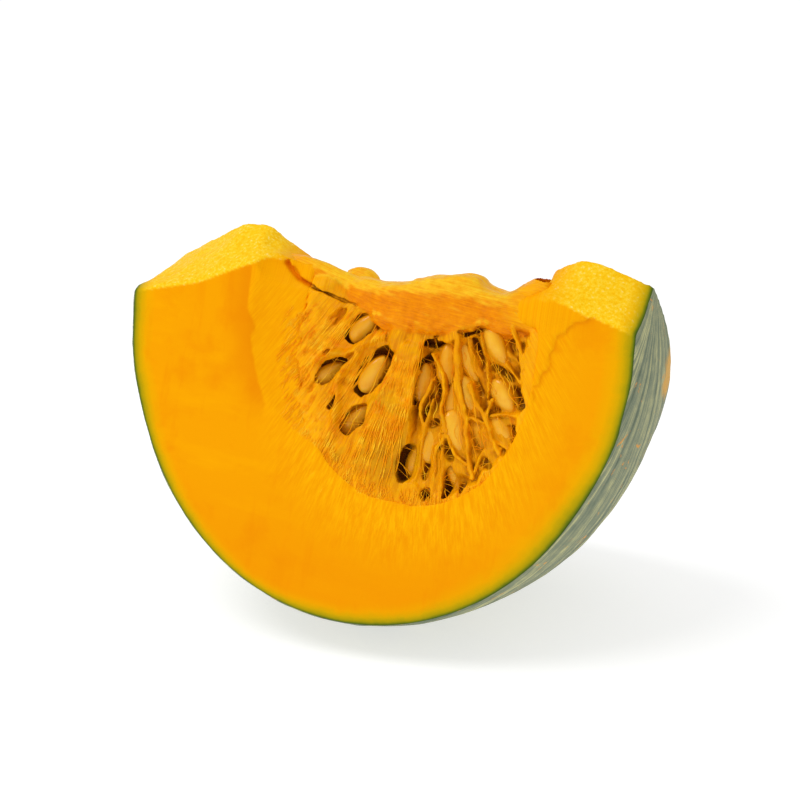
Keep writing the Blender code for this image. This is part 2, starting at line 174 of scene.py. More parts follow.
# Windows and pockets in the pulp, as (x, z, angle, half length, half width, depth) in millimetres
WINDOWS = [
    (-6, 0, 50, 9.8, 4.8, 8.5),
    (-16.5, -19, 48, 8.8, 4.7, 8.0),
    (1, -16.5, 62, 13.5, 5.6, 8.5),
    (-3, -36.5, 56, 8.0, 4.6, 8.0),
    (-13, -31, 68, 3.8, 1.4, 5.0),
    (24.5, -1, 5, 6.2, 2.0, 8.0),
    (21.5, -8.5, 50, 4.2, 2.0, 8.0),
    (20.4, -20, 88, 6.5, 1.0, 8.0),
    (38, 6.5, 22, 7.0, 1.6, 7.0),
    (52.7, 6.7, -52, 5.6, 2.4, 8.0),
    (51.7, -7, -22, 6.0, 1.8, 8.0),
    (60, -15.5, -50, 5.0, 3.2, 9.0),
    (60.6, -29.5, -50, 4.0, 2.3, 9.0),
    (41.5, -1.5, -66, 7.0, 1.4, 7.0),
    (43.5, -14.5, -60, 6.0, 1.6, 6.5),
    (47, -35.5, -58, 5.0, 2.0, 8.0),
    (51.4, -42.5, -25, 3.4, 2.2, 7.0),
    (20.5, -48, 84, 8.0, 3.2, 10.0),
    (30.5, -58.5, 40, 3.4, 2.4, 8.0),
    (37.7, -53, 88, 6.5, 2.8, 9.0),
    (25, -28, 60, 2.8, 2.0, 7.0),
    (28.2, -31, 20, 2.6, 1.8, 7.0),
    (29, -18, -75, 5.5, 1.3, 6.5),
    (36, -40.5, -60, 4.5, 1.6, 7.0),
    (28.6, -49.4, 86, 5.0, 1.3, 7.0),
    (44, -53, 88, 3.0, 1.2, 6.0),
]

# Strands that stand as thin walls in the open part, as ((x, z) points, half thickness, depth of the
# edge) in millimetres
STRANDS = [
    (
        [(25.3, -5), (27.5, -8.5), (29.6, -12), (31.2, -17), (31.3, -22.6), (31.6, -27), (34.9, -33)],
        0.65, 2.2,
    ),
    ([(26, -15.5), (22.7, -25), (25.6, -33), (25.8, -39.5), (26, -49), (24.3, -56)], 0.60, 2.0),
    ([(27.8, -22.4), (26.6, -29), (25.6, -38)], 0.45, 1.8),
    ([(33.5, 4), (33.8, -1), (35.7, -8), (36.8, -15), (38.9, -21), (41.4, -27)], 1.05, 1.6),
    ([(41.4, -27), (42.7, -32.6), (44, -38), (45.7, -43.7), (47.2, -49)], 0.80, 1.6),
    ([(42.2, 6.5), (46.2, -2.4), (47.7, -9.5), (49.2, -19.5)], 0.35, 1.8),
    ([(41, -14), (45.3, -21), (48.3, -24), (50.9, -28.5), (53.3, -33), (56.4, -38)], 0.75, 1.6),
    ([(50.5, -17.5), (49.4, -23.6), (51, -29)], 0.50, 1.8),
    ([(54.7, 11), (58.6, 3.4), (60.8, -3.6), (62.7, -11)], 0.80, 1.4),
    ([(54, -3), (57.5, -6), (60.8, -9)], 0.55, 1.8),
    ([(32.9, -31.7), (36.8, -38.4), (40.1, -41.8), (44.6, -44.5)], 0.60, 2.6),
    ([(32.8, -33.7), (34.2, -40), (35, -47.7), (35.7, -55), (35.5, -60)], 0.50, 2.4),
    ([(34.9, -33), (31.1, -40.6), (32.1, -50), (32.9, -60)], 0.60, 2.4),
    ([(42, -26), (48, -27), (51, -28.5)], 0.40, 2.4),
    ([(51, -24), (56, -22.5), (64, -21.5)], 0.55, 2.4),
    ([(47.2, -49), (50, -38), (56.4, -36)], 0.40, 2.8),
    ([(53.3, -33), (58, -35), (62, -36)], 0.40, 2.6),
]

# Ridges on the sheet of pulp, as ((x, z) points, half width, height) in millimetres
RIDGES = [
    ([(4.2, -1), (-1.4, -4), (-6.6, -7.8), (-11.2, -11.4), (-16.8, -12), (-22, -16)], 1.7, 3.2),
    (
        [(-6.1, -11), (-10.4, -16.7), (-12.4, -21.7), (-11, -28), (-11, -33.6), (-10.5, -39), (-11, -46)],
        1.5, 3.0,
    ),
    ([(9.8, -19), (3, -27.6), (0.5, -37.7), (-3.3, -44.3), (-7.4, -51.6)], 1.5, 2.2),
    ([(18, -8), (19.3, -14), (19.9, -21), (19.4, -30.6), (18.9, -40.4), (17, -49)], 1.0, 1.6),
]

# Seeds at the front cut, as (x, z, angle of the long axis, turn about it, depth), and the rings of
# seeds at the back cut
SEED_SEMI_AXES = (0.0082, 0.0046, 0.0028)
FRONT_SEEDS = [
    (-0.0062, -0.0005, 56, 42, 0.0100),
    (-0.0182, -0.0215, 50, 36, 0.0105),
    (0.0004, -0.0176, 66, 28, 0.0090),
    (-0.0042, -0.0371, 58, 32, 0.0098),
    (0.0215, -0.0175, 94, 40, 0.0085),
    (0.0299, -0.0080, 95, 36, 0.0078),
    (0.0478, 0.0024, -50, 16, 0.0062),
    (0.0553, 0.0140, -44, 30, 0.0058),
    (0.0538, -0.0159, -46, 14, 0.0062),
    (0.0558, -0.0297, -44, 16, 0.0068),
    (0.0396, -0.0178, -56, -24, 0.0062),
    (0.0377, -0.0327, -66, -22, 0.0062),
    (0.0285, -0.0397, 92, 34, 0.0066),
    (0.0230, -0.0471, 84, 44, 0.0088),
    (0.0408, -0.0504, -64, -34, 0.0088),
    (0.0318, -0.0528, 92, 44, 0.0086),
    (0.0471, -0.0331, -52, 34, 0.0084),
    (0.0384, -0.0058, -60, -36, 0.0084),
    (0.0342, -0.0211, 88, 40, 0.0086),
]
BACK_SEEDS = 13
BACK_SEED_ARC = (200.0, 340.0)
BACK_SEED_RINGS = (0.50, 0.78)
BACK_SEED_SINK = 0.0004

# The hollow's middle and half widths on the back cut
BACK_MIDDLE = (0.0185, 0.004)
BACK_REACH = (0.050, 0.066)

# Where the broken top shows fresh flesh, as ranges of x on the left and the right arm
FRESH_LEFT = (-0.036, -0.050)
FRESH_RIGHT = (0.058, 0.080)

# The boxes that the pieces are found in, as (low corner, high corner), and where the pulp is split
PULP_SPLIT_Y = -0.0150
PULP_LAP = 0.0010
WALL_BOX = ((-0.109, -0.0385, -0.124), (0.112, 0.0950, 0.0420))
PULP_FRONT_BOX = ((-0.046, -0.0385, -0.070), (0.078, PULP_SPLIT_Y + 0.0012, 0.0300))
PULP_BACK_BOX = ((-0.044, PULP_SPLIT_Y - 0.0030, -0.072), (0.078, 0.0680, 0.0250))

# Mesh fineness and the height of the finest relief
WALL_STEP = 0.00085
PULP_STEP = 0.0005
PULP_BACK_STEP = 0.0009
WALL_TRIANGLES = 185000
PULP_TRIANGLES = 190000
PULP_BACK_TRIANGLES = 120000
FACET_GRAIN = 0.00013
RIND_RELIEF = 0.00022
PULP_RELIEF = 0.00026
CORE_RELIEF = 0.00038

# Threads and hairs. The ranges are of where a thread starts along the core, how far below it, its
# length, and then its waves, its distance from the surface and its radius in millimetres
SHEET_THREADS = 300
SHEET_RANGES = ((-0.032, 0.030), (0.004, 0.058), (0.008, 0.024), (0.05, 0.40), (-0.05, 0.15), (0.07, 0.20))
OPEN_THREADS = 46
OPEN_RANGES = ((0.016, 0.050), (0.006, 0.050), (0.008, 0.022), (0.3, 1.1), (0.4, 3.4), (0.06, 0.15))
BACK_THREADS = 120
BACK_RANGES = ((-0.030, 0.064), (0.004, 0.055), (0.010, 0.030), (0.05, 0.40), (-0.05, 0.30), (0.07, 0.20))
FRINGE_HAIRS = 620
FRINGE_ARC = (165.0, 318.0)
FRINGE_REACH = (0.0485, 0.0625)
WINDOW_HAIRS = 5
THREAD_POINTS = 14
HAIR_SIDES = 5

# The floor and the light
FLOOR_HALF = 6.0
FLOOR_ROWS = 12
SKY_STRENGTH = 0.66
KEY_PLACE = (-0.6, -0.8, 1.7)
KEY_AIM = (0.0, 0.0, 0.06)
KEY_SIZE = 0.9
KEY_POWER = 14.0

RANDOM_SEED = 11

# How far out from the pulp creases are felt for, to paint shade in them
CREASE_REACHES = (0.0010, 0.0020, 0.0035, 0.0060)
MM = 0.001


# Numbers and fields

def smooth_max(first, second, width):
    """The larger of two fields, rounded over a width where they cross."""
    share = np.clip(0.5 + 0.5 * (first - second) / width, 0.0, 1.0)
    return second + (first - second) * share + width * share * (1.0 - share)


def smooth_min(first, second, width):
    """The smaller of two fields, rounded over a width where they cross."""
    return -smooth_max(-first, -second, width)


def ease(value, start, end):
    """From 0 to 1 as a value goes from start to end."""
    share = np.clip((value - start) / (end - start), 0.0, 1.0)
    return share * share * (3.0 - 2.0 * share)


def value_noise(places, seed):
    """Smooth noise from -1 to 1 at places of any number of coordinates, with bumps one unit across."""
    base = [np.floor(place) for place in places]
    parts = [place - low for place, low in zip(places, base)]
    parts = [part * part * (3.0 - 2.0 * part) for part in parts]
    base = [low.astype(np.int64) for low in base]
    primes = (73856093, 19349663, 83492791)
    total = 0.0
    for corner in np.ndindex(*[2] * len(places)):
        mixed = np.int64(seed * 2654435761)
        weight = 1.0
        for low, part, step, prime in zip(base, parts, corner, primes):
            mixed = mixed ^ ((low + step) * prime)
            weight = weight * (part if step else 1.0 - part)
        mixed = (mixed ^ (mixed >> 13)) * 1274126177
        total = total + weight * (((mixed ^ (mixed >> 16)) & 0xFFFF) / 32767.5 - 1.0)
    return total


def noise(places, size, seed, layers=3):
    """Noise whose largest bumps are a size across, with finer layers on top."""
    total = 0.0
    for layer in range(layers):
        finer = 2.0 ** layer / size
        total = total + value_noise([place * finer for place in places], seed + layer) * 0.5 ** layer
    return total


def height_along(points, x):
    """The height at x of a line through points of (x, z), eased round its corners."""
    xs = [point[0] for point in points]
    zs = [point[1] for point in points]
    return sum(np.interp(x + shift, xs, zs) for shift in EASING_SHIFTS) / len(EASING_SHIFTS)


def distance_to_line(points, x, z):
    """The distance from places (x, z) to a line through points that are in millimetres."""
    points = in_metres(points)
    nearest = np.full(np.broadcast(x, z).shape, 1.0)
    for (x0, z0), (x1, z1) in zip(points, points[1:]):
        span = (x1 - x0) ** 2 + (z1 - z0) ** 2
        share = np.clip(((x - x0) * (x1 - x0) + (z - z0) * (z1 - z0)) / span, 0.0, 1.0)
        away = np.hypot(x - x0 - share * (x1 - x0), z - z0 - share * (z1 - z0))
        nearest = np.minimum(nearest, away)
    return nearest


def distance_to_outline(points, x, z):
    """The distance to a closed outline that is in millimetres, less than zero inside it."""
    closed = points + points[:1]
    edge = distance_to_line(closed, x, z)
    closed = in_metres(closed)
    inside = np.zeros(edge.shape, bool)
    for (x0, z0), (x1, z1) in zip(closed, closed[1:]):
        if z0 != z1:
            inside ^= ((z0 > z) != (z1 > z)) & (x < (x1 - x0) * (z - z0) / (z1 - z0) + x0)
    return np.where(inside, -edge, edge)


def in_metres(points):
    """Points of (x, z) in millimetres as metres."""
    return [(x * MM, z * MM) for x, z in points]


# The squash's own forms

def body_field(x, y, z):
    """How far outside the whole squash's rind a place is."""
    length = np.where(x > 0.0, HALF_LENGTH_RIGHT, HALF_LENGTH_LEFT)
    around = np.arctan2(z, y) - math.radians(FIRST_RIB_ANGLE)
    radius = EQUATOR_RADIUS + RIB_HEIGHT * np.cos(RIBS * around)
    across = np.hypot(y, z)
    size = np.sqrt((x / length) ** 2 + (across / radius) ** 2)
    slope = np.sqrt((x / length ** 2) ** 2 + (across / radius ** 2) ** 2)
    return (size - 1.0) * size / np.maximum(slope, 1.0)


def lump_field(x, y, z, centre, semi_axes, squareness, turn=0.0):
    """How far outside a squared ellipsoid a place is."""
    angle = math.radians(turn)
    across, along, up = x - centre[0], y - centre[1], z - centre[2]
    side = math.cos(angle) * across - math.sin(angle) * up
    rise = math.sin(angle) * across + math.cos(angle) * up
    parts = [np.abs(part / axis) ** squareness for part, axis in zip((side, along, rise), semi_axes)]
    size = np.maximum(parts[0] + parts[1] + parts[2], 1e-9) ** (1.0 / squareness)
    distance = np.sqrt(side ** 2 + along ** 2 + rise ** 2)
    return distance * (1.0 - 1.0 / size)


def cavity_field(x, y, z, scale):
    """How far outside the hollow, made larger or smaller by a scale, a place is."""
    semi_axes = [axis * scale for axis in CAVITY_SEMI_AXES]
    return lump_field(x, y, z, CAVITY_CENTRE, semi_axes, CAVITY_SQUARENESS)


def rim_share(x, z, y=FRONT_CUT_Y):
    """How far towards the hollow's rim a place on a cut is, with 1 at the rim."""
    parts = [
        np.abs((place - middle) / axis) ** CAVITY_SQUARENESS
        for place, middle, axis in zip((x, y, z), CAVITY_CENTRE, CAVITY_SEMI_AXES)
    ]
    here = np.maximum(parts[0] + parts[2], 1e-9)
    room = max(1.0 - float(parts[1]), 0.05)
    return (here / room) ** (1.0 / CAVITY_SQUARENESS)


def top_height(x, y):
    """The height of the broken top above a place."""
    front = height_along(TOP_FRONT_EDGE, x)
    ridge = height_along(TOP_RIDGE, x)
    share = (y - FRONT_CUT_Y) / (BACK_CUT_Y - ridge - FRONT_CUT_Y)
    return front + (ridge - front) * np.clip(share, -0.5, 1.5)


def back_places(y, z):
    """The depth behind the back cut and the height along it, as a place has at the front cut."""
    angle = math.radians(BACK_CUT_ANGLE)
    depth = -((y - BACK_CUT_Y) * math.cos(angle) + z * math.sin(angle))
    height = -(y - BACK_CUT_Y) * math.sin(angle) + z * math.cos(angle)
    return depth, height


def to_back_cut(point):
    """Take a place that is drawn against the front cut to the matching place at the back cut."""
    from_front = Matrix.Translation((0.0, -FRONT_CUT_Y, 0.0))
    turn = Matrix.Rotation(math.radians(BACK_CUT_ANGLE), 4, "X")
    flip = Matrix.Scale(-1.0, 4, (0.0, 1.0, 0.0))
    return Matrix.Translation((0.0, BACK_CUT_Y, 0.0)) @ turn @ flip @ from_front @ point


def fibre_start(x, drop):
    """Where along the core the fibre through a place starts."""
    low = x - FIBRE_SEARCH
    high = x + FIBRE_SEARCH
    for _ in range(FIBRE_HALVINGS):
        middle = (low + high) / 2
        beyond = middle + drop * fibre_lean(middle) > x
        high = np.where(beyond, middle, high)
        low = np.where(beyond, low, middle)
    return (low + high) / 2


def fibre_lean(start):
    """How far a fibre goes to the right for each metre down."""
    return LEAN_MIDDLE + LEAN_SWING * np.tanh((start - LEAN_START) / LEAN_WIDTH)


def fibre_places(x, z):
    """The coordinates of a place across and along the fibres, in millimetres."""
    drop = np.maximum(FIBRE_TOP_Z - z, 0.0)
    return fibre_start(x, drop) / MM, drop / MM


def dip_depth(x, z):
    """How deep the torn flesh lies below the front cut."""
    depth = 0.0
    for centre, semi_axes, deep in DIPS:
        across = (x - centre[0]) / semi_axes[0]
        up = (z - centre[1]) / semi_axes[1]
        inside = np.maximum(1.0 - across ** 2 - up ** 2, 0.0)
        depth = smooth_max(depth, deep * inside ** DIP_FALL, 0.0010) - 0.00025
    return np.maximum(depth, 0.0)


def flesh_depth(x, z):
    """How deep the flesh lies below the front cut, with its small waves and the right arm's step."""
    depth = dip_depth(x, z)
    torn = ease(depth, 0.0, 0.002)
    near = ease(rim_share(x, z), 1.35, 1.0)
    waves = 0.00012 * noise((x, z), 0.022, 31, 2)
    lumps = 0.00050 * noise((x, z), 0.0045, 35) * near
    step = ease(step_distance(x, z), 0.0003, -0.0005) * ease(rim_share(x, z), 0.92, 1.02)
    return depth + waves + lumps * (0.35 + 0.65 * torn) - STEP_HEIGHT * step


def step_distance(x, z):
    """How far outside the right arm's raised flesh a place is, with its scalloped edge."""
    scallops = 0.0016 * noise((x, z), 0.0055, 37, 2)
    return distance_to_outline(STEP_OUTLINE, x, z) + scallops


def fold_distance(x, z):
    """How far to the right of the left arm's fold a place is, with the fold's small waves."""
    line = np.interp(z, [up * MM for _, up in FOLD], [across * MM for across, _ in FOLD])
    return x - line + 0.0014 * noise((x, z), 0.0070, 39, 2)


def sheet_depth(x, z):
    """How deep the pulp's sheet lies below the front cut, without its windows."""
    across, along = fibre_places(x, z)
    rim = rim_share(x, z)
    depth = flesh_depth(x, z) - 0.0002 + 0.0012 * ease(rim, 1.0, 0.5)
    under_band = ease(z, 0.003, 0.013) * ease(x, 0.006, -0.008)
    depth = depth + 0.0016 * under_band * ease(rim, 0.96, 0.80)
    fan = ease(across, 12.8, 14.6) * ease(across, 21.4, 20.0)
    depth = depth - 0.0032 * fan * ease(along, 8.0, 16.0) * ease(rim, 0.98, 0.70)
    relief = 0.00036 * noise((across / 2.2, along / 18.0), 1.0, 41)
    relief = relief + 0.00020 * noise((across / 0.9, along / 14.0), 1.0, 45, 2)
    for points, width, height in RIDGES:
        away = distance_to_line(points, x, z)
        relief = relief - height * MM * np.exp(-((away / (width * MM)) ** 2))
    gaps = ease(noise((across / 2.6, along / 8.0), 1.0, 47, 2), 0.55, 1.05)
    fan_free = 1.0 - 0.8 * fan * ease(along, 8.0, 16.0)
    relief = relief + 0.0026 * gaps * fan_free * ease(rim, 0.98, 0.86)
    depth = depth + relief * ease(rim, 1.02, 0.90)
    ragged = rim + 0.040 * noise((across / 1.4, along / 9.0), 1.0, 51, 2)
    return depth + 0.0030 * ease(ragged, 0.99, 1.06) - 0.0003 * ease(ragged, 1.04, 0.92)


def open_depth(x, z):
    """How much deeper the open part on the right lies."""
    wander = 0.0012 * noise((x, z), 0.005, 61)
    inside = -distance_to_outline(OPEN_OUTLINE, x, z) + wander
    across, along = fibre_places(x, z)
    floor = OPEN_DEPTH + 0.0012 * noise((across / 3.0, along / 9.0), 1.0, 65)
    return floor * ease(inside, -0.0004, 0.0022)


def crack_field(x, y, z):
    """How far outside the crack under the band a place is."""
    away = distance_to_line(CRACK, x, z)
    share = np.clip((x - CRACK[0][0] * MM) / ((CRACK[-1][0] - CRACK[0][0]) * MM), 0.0, 1.0)
    half = CRACK_HALF_WIDTHS[0] + (CRACK_HALF_WIDTHS[1] - CRACK_HALF_WIDTHS[0]) * share
    floor = FRONT_CUT_Y + flesh_depth(x, z) + CRACK_DEPTH
    return np.maximum(away - half * (1.0 + 0.4 * noise((x, z), 0.003, 67, 2)), y - floor)


def seats_field(x, y, z):
    """How far outside the films of pulp that hold the front seeds a place is."""
    field = np.full(np.broadcast(x, y, z).shape, 1.0)
    length, width, thickness = SEED_SEMI_AXES
    for across, up, angle, turn, depth in FRONT_SEEDS:
        lean = math.radians(turn)
        deep = thickness * abs(math.cos(lean)) + width * abs(math.sin(lean))
        wide = width * abs(math.cos(lean)) + thickness * abs(math.sin(lean))
        centre = (across, FRONT_CUT_Y + depth + 0.62 * deep, up)
        semi_axes = (length + 0.0003, deep + 0.0002, wide + 0.0003)
        field = np.minimum(field, lump_field(x, y, z, centre, semi_axes, 2.0, -angle))
    return field


def back_sheet_depth(x, height):
    """How deep the pulp's sheet lies below the back cut."""
    across, along = fibre_places(x, height)
    rim = np.hypot((x - BACK_MIDDLE[0]) / BACK_REACH[0], (height - BACK_MIDDLE[1]) / BACK_REACH[1])
    depth = 0.0012 + 0.0045 * ease(rim, 1.05, 0.55)
    depth = depth + 0.0006 * noise((across / 2.6, along / 14.0), 1.0, 71)
    pits = noise((across / 5.0, along / 11.0), 1.0, 75, 2)
    return depth + 0.0050 * ease(pits, 0.25, 0.75) * ease(rim, 1.0, 0.85)


# Fields of the pieces

def wall_field(x, y, z):
    """How far outside the flesh a place is."""
    front = FRONT_CUT_Y + flesh_depth(x, z) - y
    back = -back_places(y, z)[0]
    relief = 0.0004 * noise((x, y), 0.0060, 21)
    top = (z - top_height(x, y) - relief) * TOP_SLOPE_SHARE
    cut = smooth_max(front, back, 0.0008)
    cut = smooth_max(cut, top, 0.0010)
    field = smooth_max(body_field(x, y, z), cut, 0.0008)
    field = smooth_max(field, -cavity_field(x, y, z, WALL_CAVITY_SCALE), 0.0022)
    field = smooth_max(field, -crack_field(x, y, z), 0.0004)
    return smooth_min(field, smooth_max(lump_field(x, y, z, *SHOULDER), cut, 0.0010), 0.0030)


def windows_field(x, y, z):
    """How far outside the windows' pockets a place is."""
    field = np.full(np.broadcast(x, y, z).shape, 1.0)
    wander = 1.0 + 0.20 * noise((x, z), 0.004, 81)
    for across, up, angle, length, width, depth in WINDOWS:
        surface = FRONT_CUT_Y + float(sheet_depth(np.array(across * MM), np.array(up * MM)))
        centre = (across * MM, surface + 0.35 * depth * MM, up * MM)
        semi_axes = (length * MM, 0.65 * depth * MM, width * MM)
        pocket = lump_field(x, y, z, centre, semi_axes, 2.2, -angle) + 0.003 * (wander - 1.0)
        field = np.minimum(field, pocket)
    return field


def strands_field(x, y, z):
    """How far outside the strands that stand as thin walls a place is."""
    field = np.full(np.broadcast(x, y, z).shape, 1.0)
    wander_x = x + 0.0005 * noise((x, z), 0.004, 91)
    wander_z = z + 0.0005 * noise((x, z), 0.004, 95)
    for points, half_thickness, edge in STRANDS:
        away = distance_to_line(points, wander_x, wander_z)
        below = y - FRONT_CUT_Y - edge * MM
        half = half_thickness * MM + 0.10 * np.maximum(below, 0.0)
        field = np.minimum(field, smooth_max(away - half, -below, 0.0008))
    return field


def core_field(x, y, z):
    """How far outside the core and its band a place is."""
    field = band_field(x, y, z)
    for lump in CORE_LUMPS:
        field = smooth_min(field, lump_field(x, y, z, *lump), CORE_BLEND)
    return field


def band_field(x, y, z):
    """How far outside the band that ties the core to the left arm a place is."""
    field = np.full(np.broadcast(x, y, z).shape, 1.0)
    for first, second in zip(BAND_POINTS, BAND_POINTS[1:]):
        span = [b - a for a, b in zip(first, second)]
        length = sum(value * value for value in span)
        share = (x - first[0]) * span[0] + (y - first[1]) * span[1] + (z - first[2]) * span[2]
        share = np.clip(share / length, 0.0, 1.0)
        away = np.sqrt(
            (x - first[0] - share * span[0]) ** 2
            + (y - first[1] - share * span[1]) ** 2
            + (z - first[2] - share * span[2]) ** 2
        )
        field = np.minimum(field, away - BAND_RADIUS)
    return field


def pulp_field(x, y, z):
    """How far outside the pulp a place is."""
    front = FRONT_CUT_Y + sheet_depth(x, z) + open_depth(x, z) - y
    back_depth, back_height = back_places(y, z)
    top = z - 0.0125 - 0.0060 * ease(x, -0.012, -0.028)
    top = top - 0.0018 * noise((x, y), 0.009, 101)
    bed = smooth_max(front, back_sheet_depth(x, back_height) - back_depth, 0.001)
    bed = smooth_max(bed, top, 0.003)
    bed = smooth_max(bed, -windows_field(x, y, z), 0.0010)
    bed = smooth_max(bed, -crack_field(x, y, z), 0.0004)
    bed = smooth_min(bed, seats_field(x, y, z), 0.0012)
    bed = smooth_min(bed, strands_field(x, y, z), 0.0012)
    for knob in KNOBS:
        bed = smooth_min(bed, lump_field(x, y, z, *knob), 0.0012)
    ragged = 0.0015 * noise((x, y, z), 0.0048, 103) * ease(z, 0.015, 0.004)
    field = smooth_min(bed, core_field(x, y, z) + ragged, 0.0010)
    field = smooth_max(field, cavity_field(x, y, z, 1.01), 0.001)
    field = smooth_min(field, band_field(x, y, z), 0.0010)
    field = smooth_max(field, -back_depth + 0.0003, 0.001)
    return smooth_max(field, FRONT_CUT_Y + 0.0006 - y, 0.001)


# Meshes

def grid_axes(low, high, step):
    """The places along each side of a box, a step apart."""
    return [np.arange(start, end + step, step) for start, end in zip(low, high)]


def surface_of(field, axes):
    """A mesh of the surface where a field on a grid is zero: its points and its four-sided faces."""
    inside = field < 0.0
    shape = [size - 1 for size in field.shape]
    corners = np.zeros(shape, np.int8)
    for i, j, k in np.ndindex(2, 2, 2):
        corners += inside[i:i + shape[0], j:j + shape[1], k:k + shape[2]]
    cells = np.argwhere((corners > 0) & (corners < 8))
    number = np.full(shape, -1, np.int64)
    number[tuple(cells.T)] = np.arange(len(cells))
    return surface_points(field, cells, axes), surface_faces(inside, number)


def surface_points(field, cells, axes):
    """A point for each cell, in the middle of where its edges cross the surface."""
    total = np.zeros((len(cells), 3))
    count = np.zeros(len(cells))
    for axis in range(3):
        first_side, second_side = [side for side in range(3) if side != axis]
        for i, j in np.ndindex(2, 2):
            start = cells.copy()
            start[:, first_side] += i
            start[:, second_side] += j
            end = start.copy()
            end[:, axis] += 1
            here = field[tuple(start.T)]
            there = field[tuple(end.T)]
            crossed = (here < 0.0) != (there < 0.0)
            place = start[crossed].astype(float)
            place[:, axis] += here[crossed] / (here[crossed] - there[crossed])
            total[crossed] += place
            count[crossed] += 1.0
    places = total / count[:, None]
    columns = [np.interp(place, np.arange(len(line)), line) for place, line in zip(places.T, axes)]
    return np.stack(columns, axis=1)


def surface_faces(inside, number):
    """A face for each edge of the grid that crosses the surface, between the four cells round it."""
    shape = number.shape
    faces = []
    for axis in range(3):
        side, other = (axis + 1) % 3, (axis + 2) % 3
        low = [slice(None)] * 3
        high = [slice(None)] * 3
        low[axis] = slice(0, -1)
        high[axis] = slice(1, None)
        edges = np.argwhere(inside[tuple(low)] != inside[tuple(high)])
        kept = (edges[:, side] > 0) & (edges[:, other] > 0)
        kept &= (edges[:, side] < shape[side]) & (edges[:, other] < shape[other])
        edges = edges[kept]
        ring = []
        for move, shift in ((-1, -1), (0, -1), (0, 0), (-1, 0)):
            cell = edges.copy()
            cell[:, side] += move
            cell[:, other] += shift
            ring.append(number[tuple(cell.T)])
        ring = np.stack(ring, axis=1)
        outwards = inside[tuple(edges.T)]
        ring[~outwards] = ring[~outwards][:, ::-1]
        faces.append(ring)
    return np.concatenate(faces)


def sample(field, axes, points):
    """The value of a field on a grid at points, read straight between the grid's own places."""
    steps = [(points[:, axis] - line[0]) / (line[1] - line[0]) for axis, line in enumerate(axes)]
    steps = [np.clip(step, 0.0, size - 1.001) for step, size in zip(steps, field.shape)]
    base = [step.astype(np.int64) for step in steps]
    parts = [step - low for step, low in zip(steps, base)]
    total = 0.0
    for corner in np.ndindex(2, 2, 2):
        weight = 1.0
        for part, side in zip(parts, corner):
            weight = weight * (part if side else 1.0 - part)
        total = total + weight * field[tuple(low + side for low, side in zip(base, corner))]
    return total


def crease_share(field, axes, points, normals):
    """How far each point lies in a crease, from how near the surface is again along its normal, for the
    painted shade in the pulp's creases.
    """
    closed = 0.0
    for reach in CREASE_REACHES:
        free = sample(field, axes, points + normals * reach) / reach
        closed = closed + np.clip(1.0 - free, 0.0, 1.0)
    return closed / len(CREASE_REACHES)


def read_vertices(item, what):
    """The places or the normals of an object's points, as co or normal."""
    found = np.empty(len(item.data.vertices) * 3)
    item.data.vertices.foreach_get(what, found)
    return found.reshape(-1, 3)


def normals_of(points, faces):
    """The outward direction at each point of a mesh of four-sided faces."""
    across = points[faces[:, 2]] - points[faces[:, 0]]
    other = points[faces[:, 3]] - points[faces[:, 1]]
    facing = np.cross(across, other)
    total = np.zeros_like(points)
    for corner in range(4):
        np.add.at(total, faces[:, corner], facing)
    return total / np.maximum(np.linalg.norm(total, axis=1, keepdims=True), 1e-12)


def new_object(name, points, faces, material):
    """A smooth object of one material, still in the squash's own frame."""
    mesh = bpy.data.meshes.new(name)
    mesh.from_pydata(points, [], faces)
    mesh.update()
    mesh.materials.append(material)
    mesh.shade_smooth()
    item = bpy.data.objects.new(name, mesh)
    bpy.context.scene.collection.objects.link(item)
    return item


def thin_out(item, most_triangles, thinned=None):
    """Collapse edges in flat places to leave so many triangles, or only among the thinned points."""
    item.data.calc_loop_triangles()
    count = len(item.data.loop_triangles)
    if count > most_triangles:
        step = item.modifiers.new("thin_out", "DECIMATE")
        step.ratio = most_triangles / count
        if thinned is not None:
            group = item.vertex_groups.new(name="thinned")
            group.add(np.flatnonzero(thinned).tolist(), 1.0, "REPLACE")
            step.vertex_group = group.name
        graph = bpy.context.evaluated_depsgraph_get()
        made = bpy.data.meshes.new_from_object(item.evaluated_get(graph))
        made.name = item.name
        item.modifiers.clear()
        item.vertex_groups.clear()
        item.data = made
        made.shade_smooth()


def keep_above_ground(item):
    """Flatten what would sink into the ground to the rest spot."""
    points = read_vertices(item, "co")
    world = np.array(HOLDER)
    height = points @ world[2, :3] + world[2, 3]
    lift = np.maximum(REST_CLEARANCE - height, 0.0)
    points += lift[:, None] * world[2, :3]
    item.data.vertices.foreach_set("co", points.ravel())
    item.data.update()


def set_attributes(item, **values):
    """Store numbers on an object's points for its material to read."""
    for name, numbers in values.items():
        attribute = item.data.attributes.new(name, "FLOAT", "POINT")
        attribute.data.foreach_set("value", np.ascontiguousarray(numbers, np.float32))


# Materials

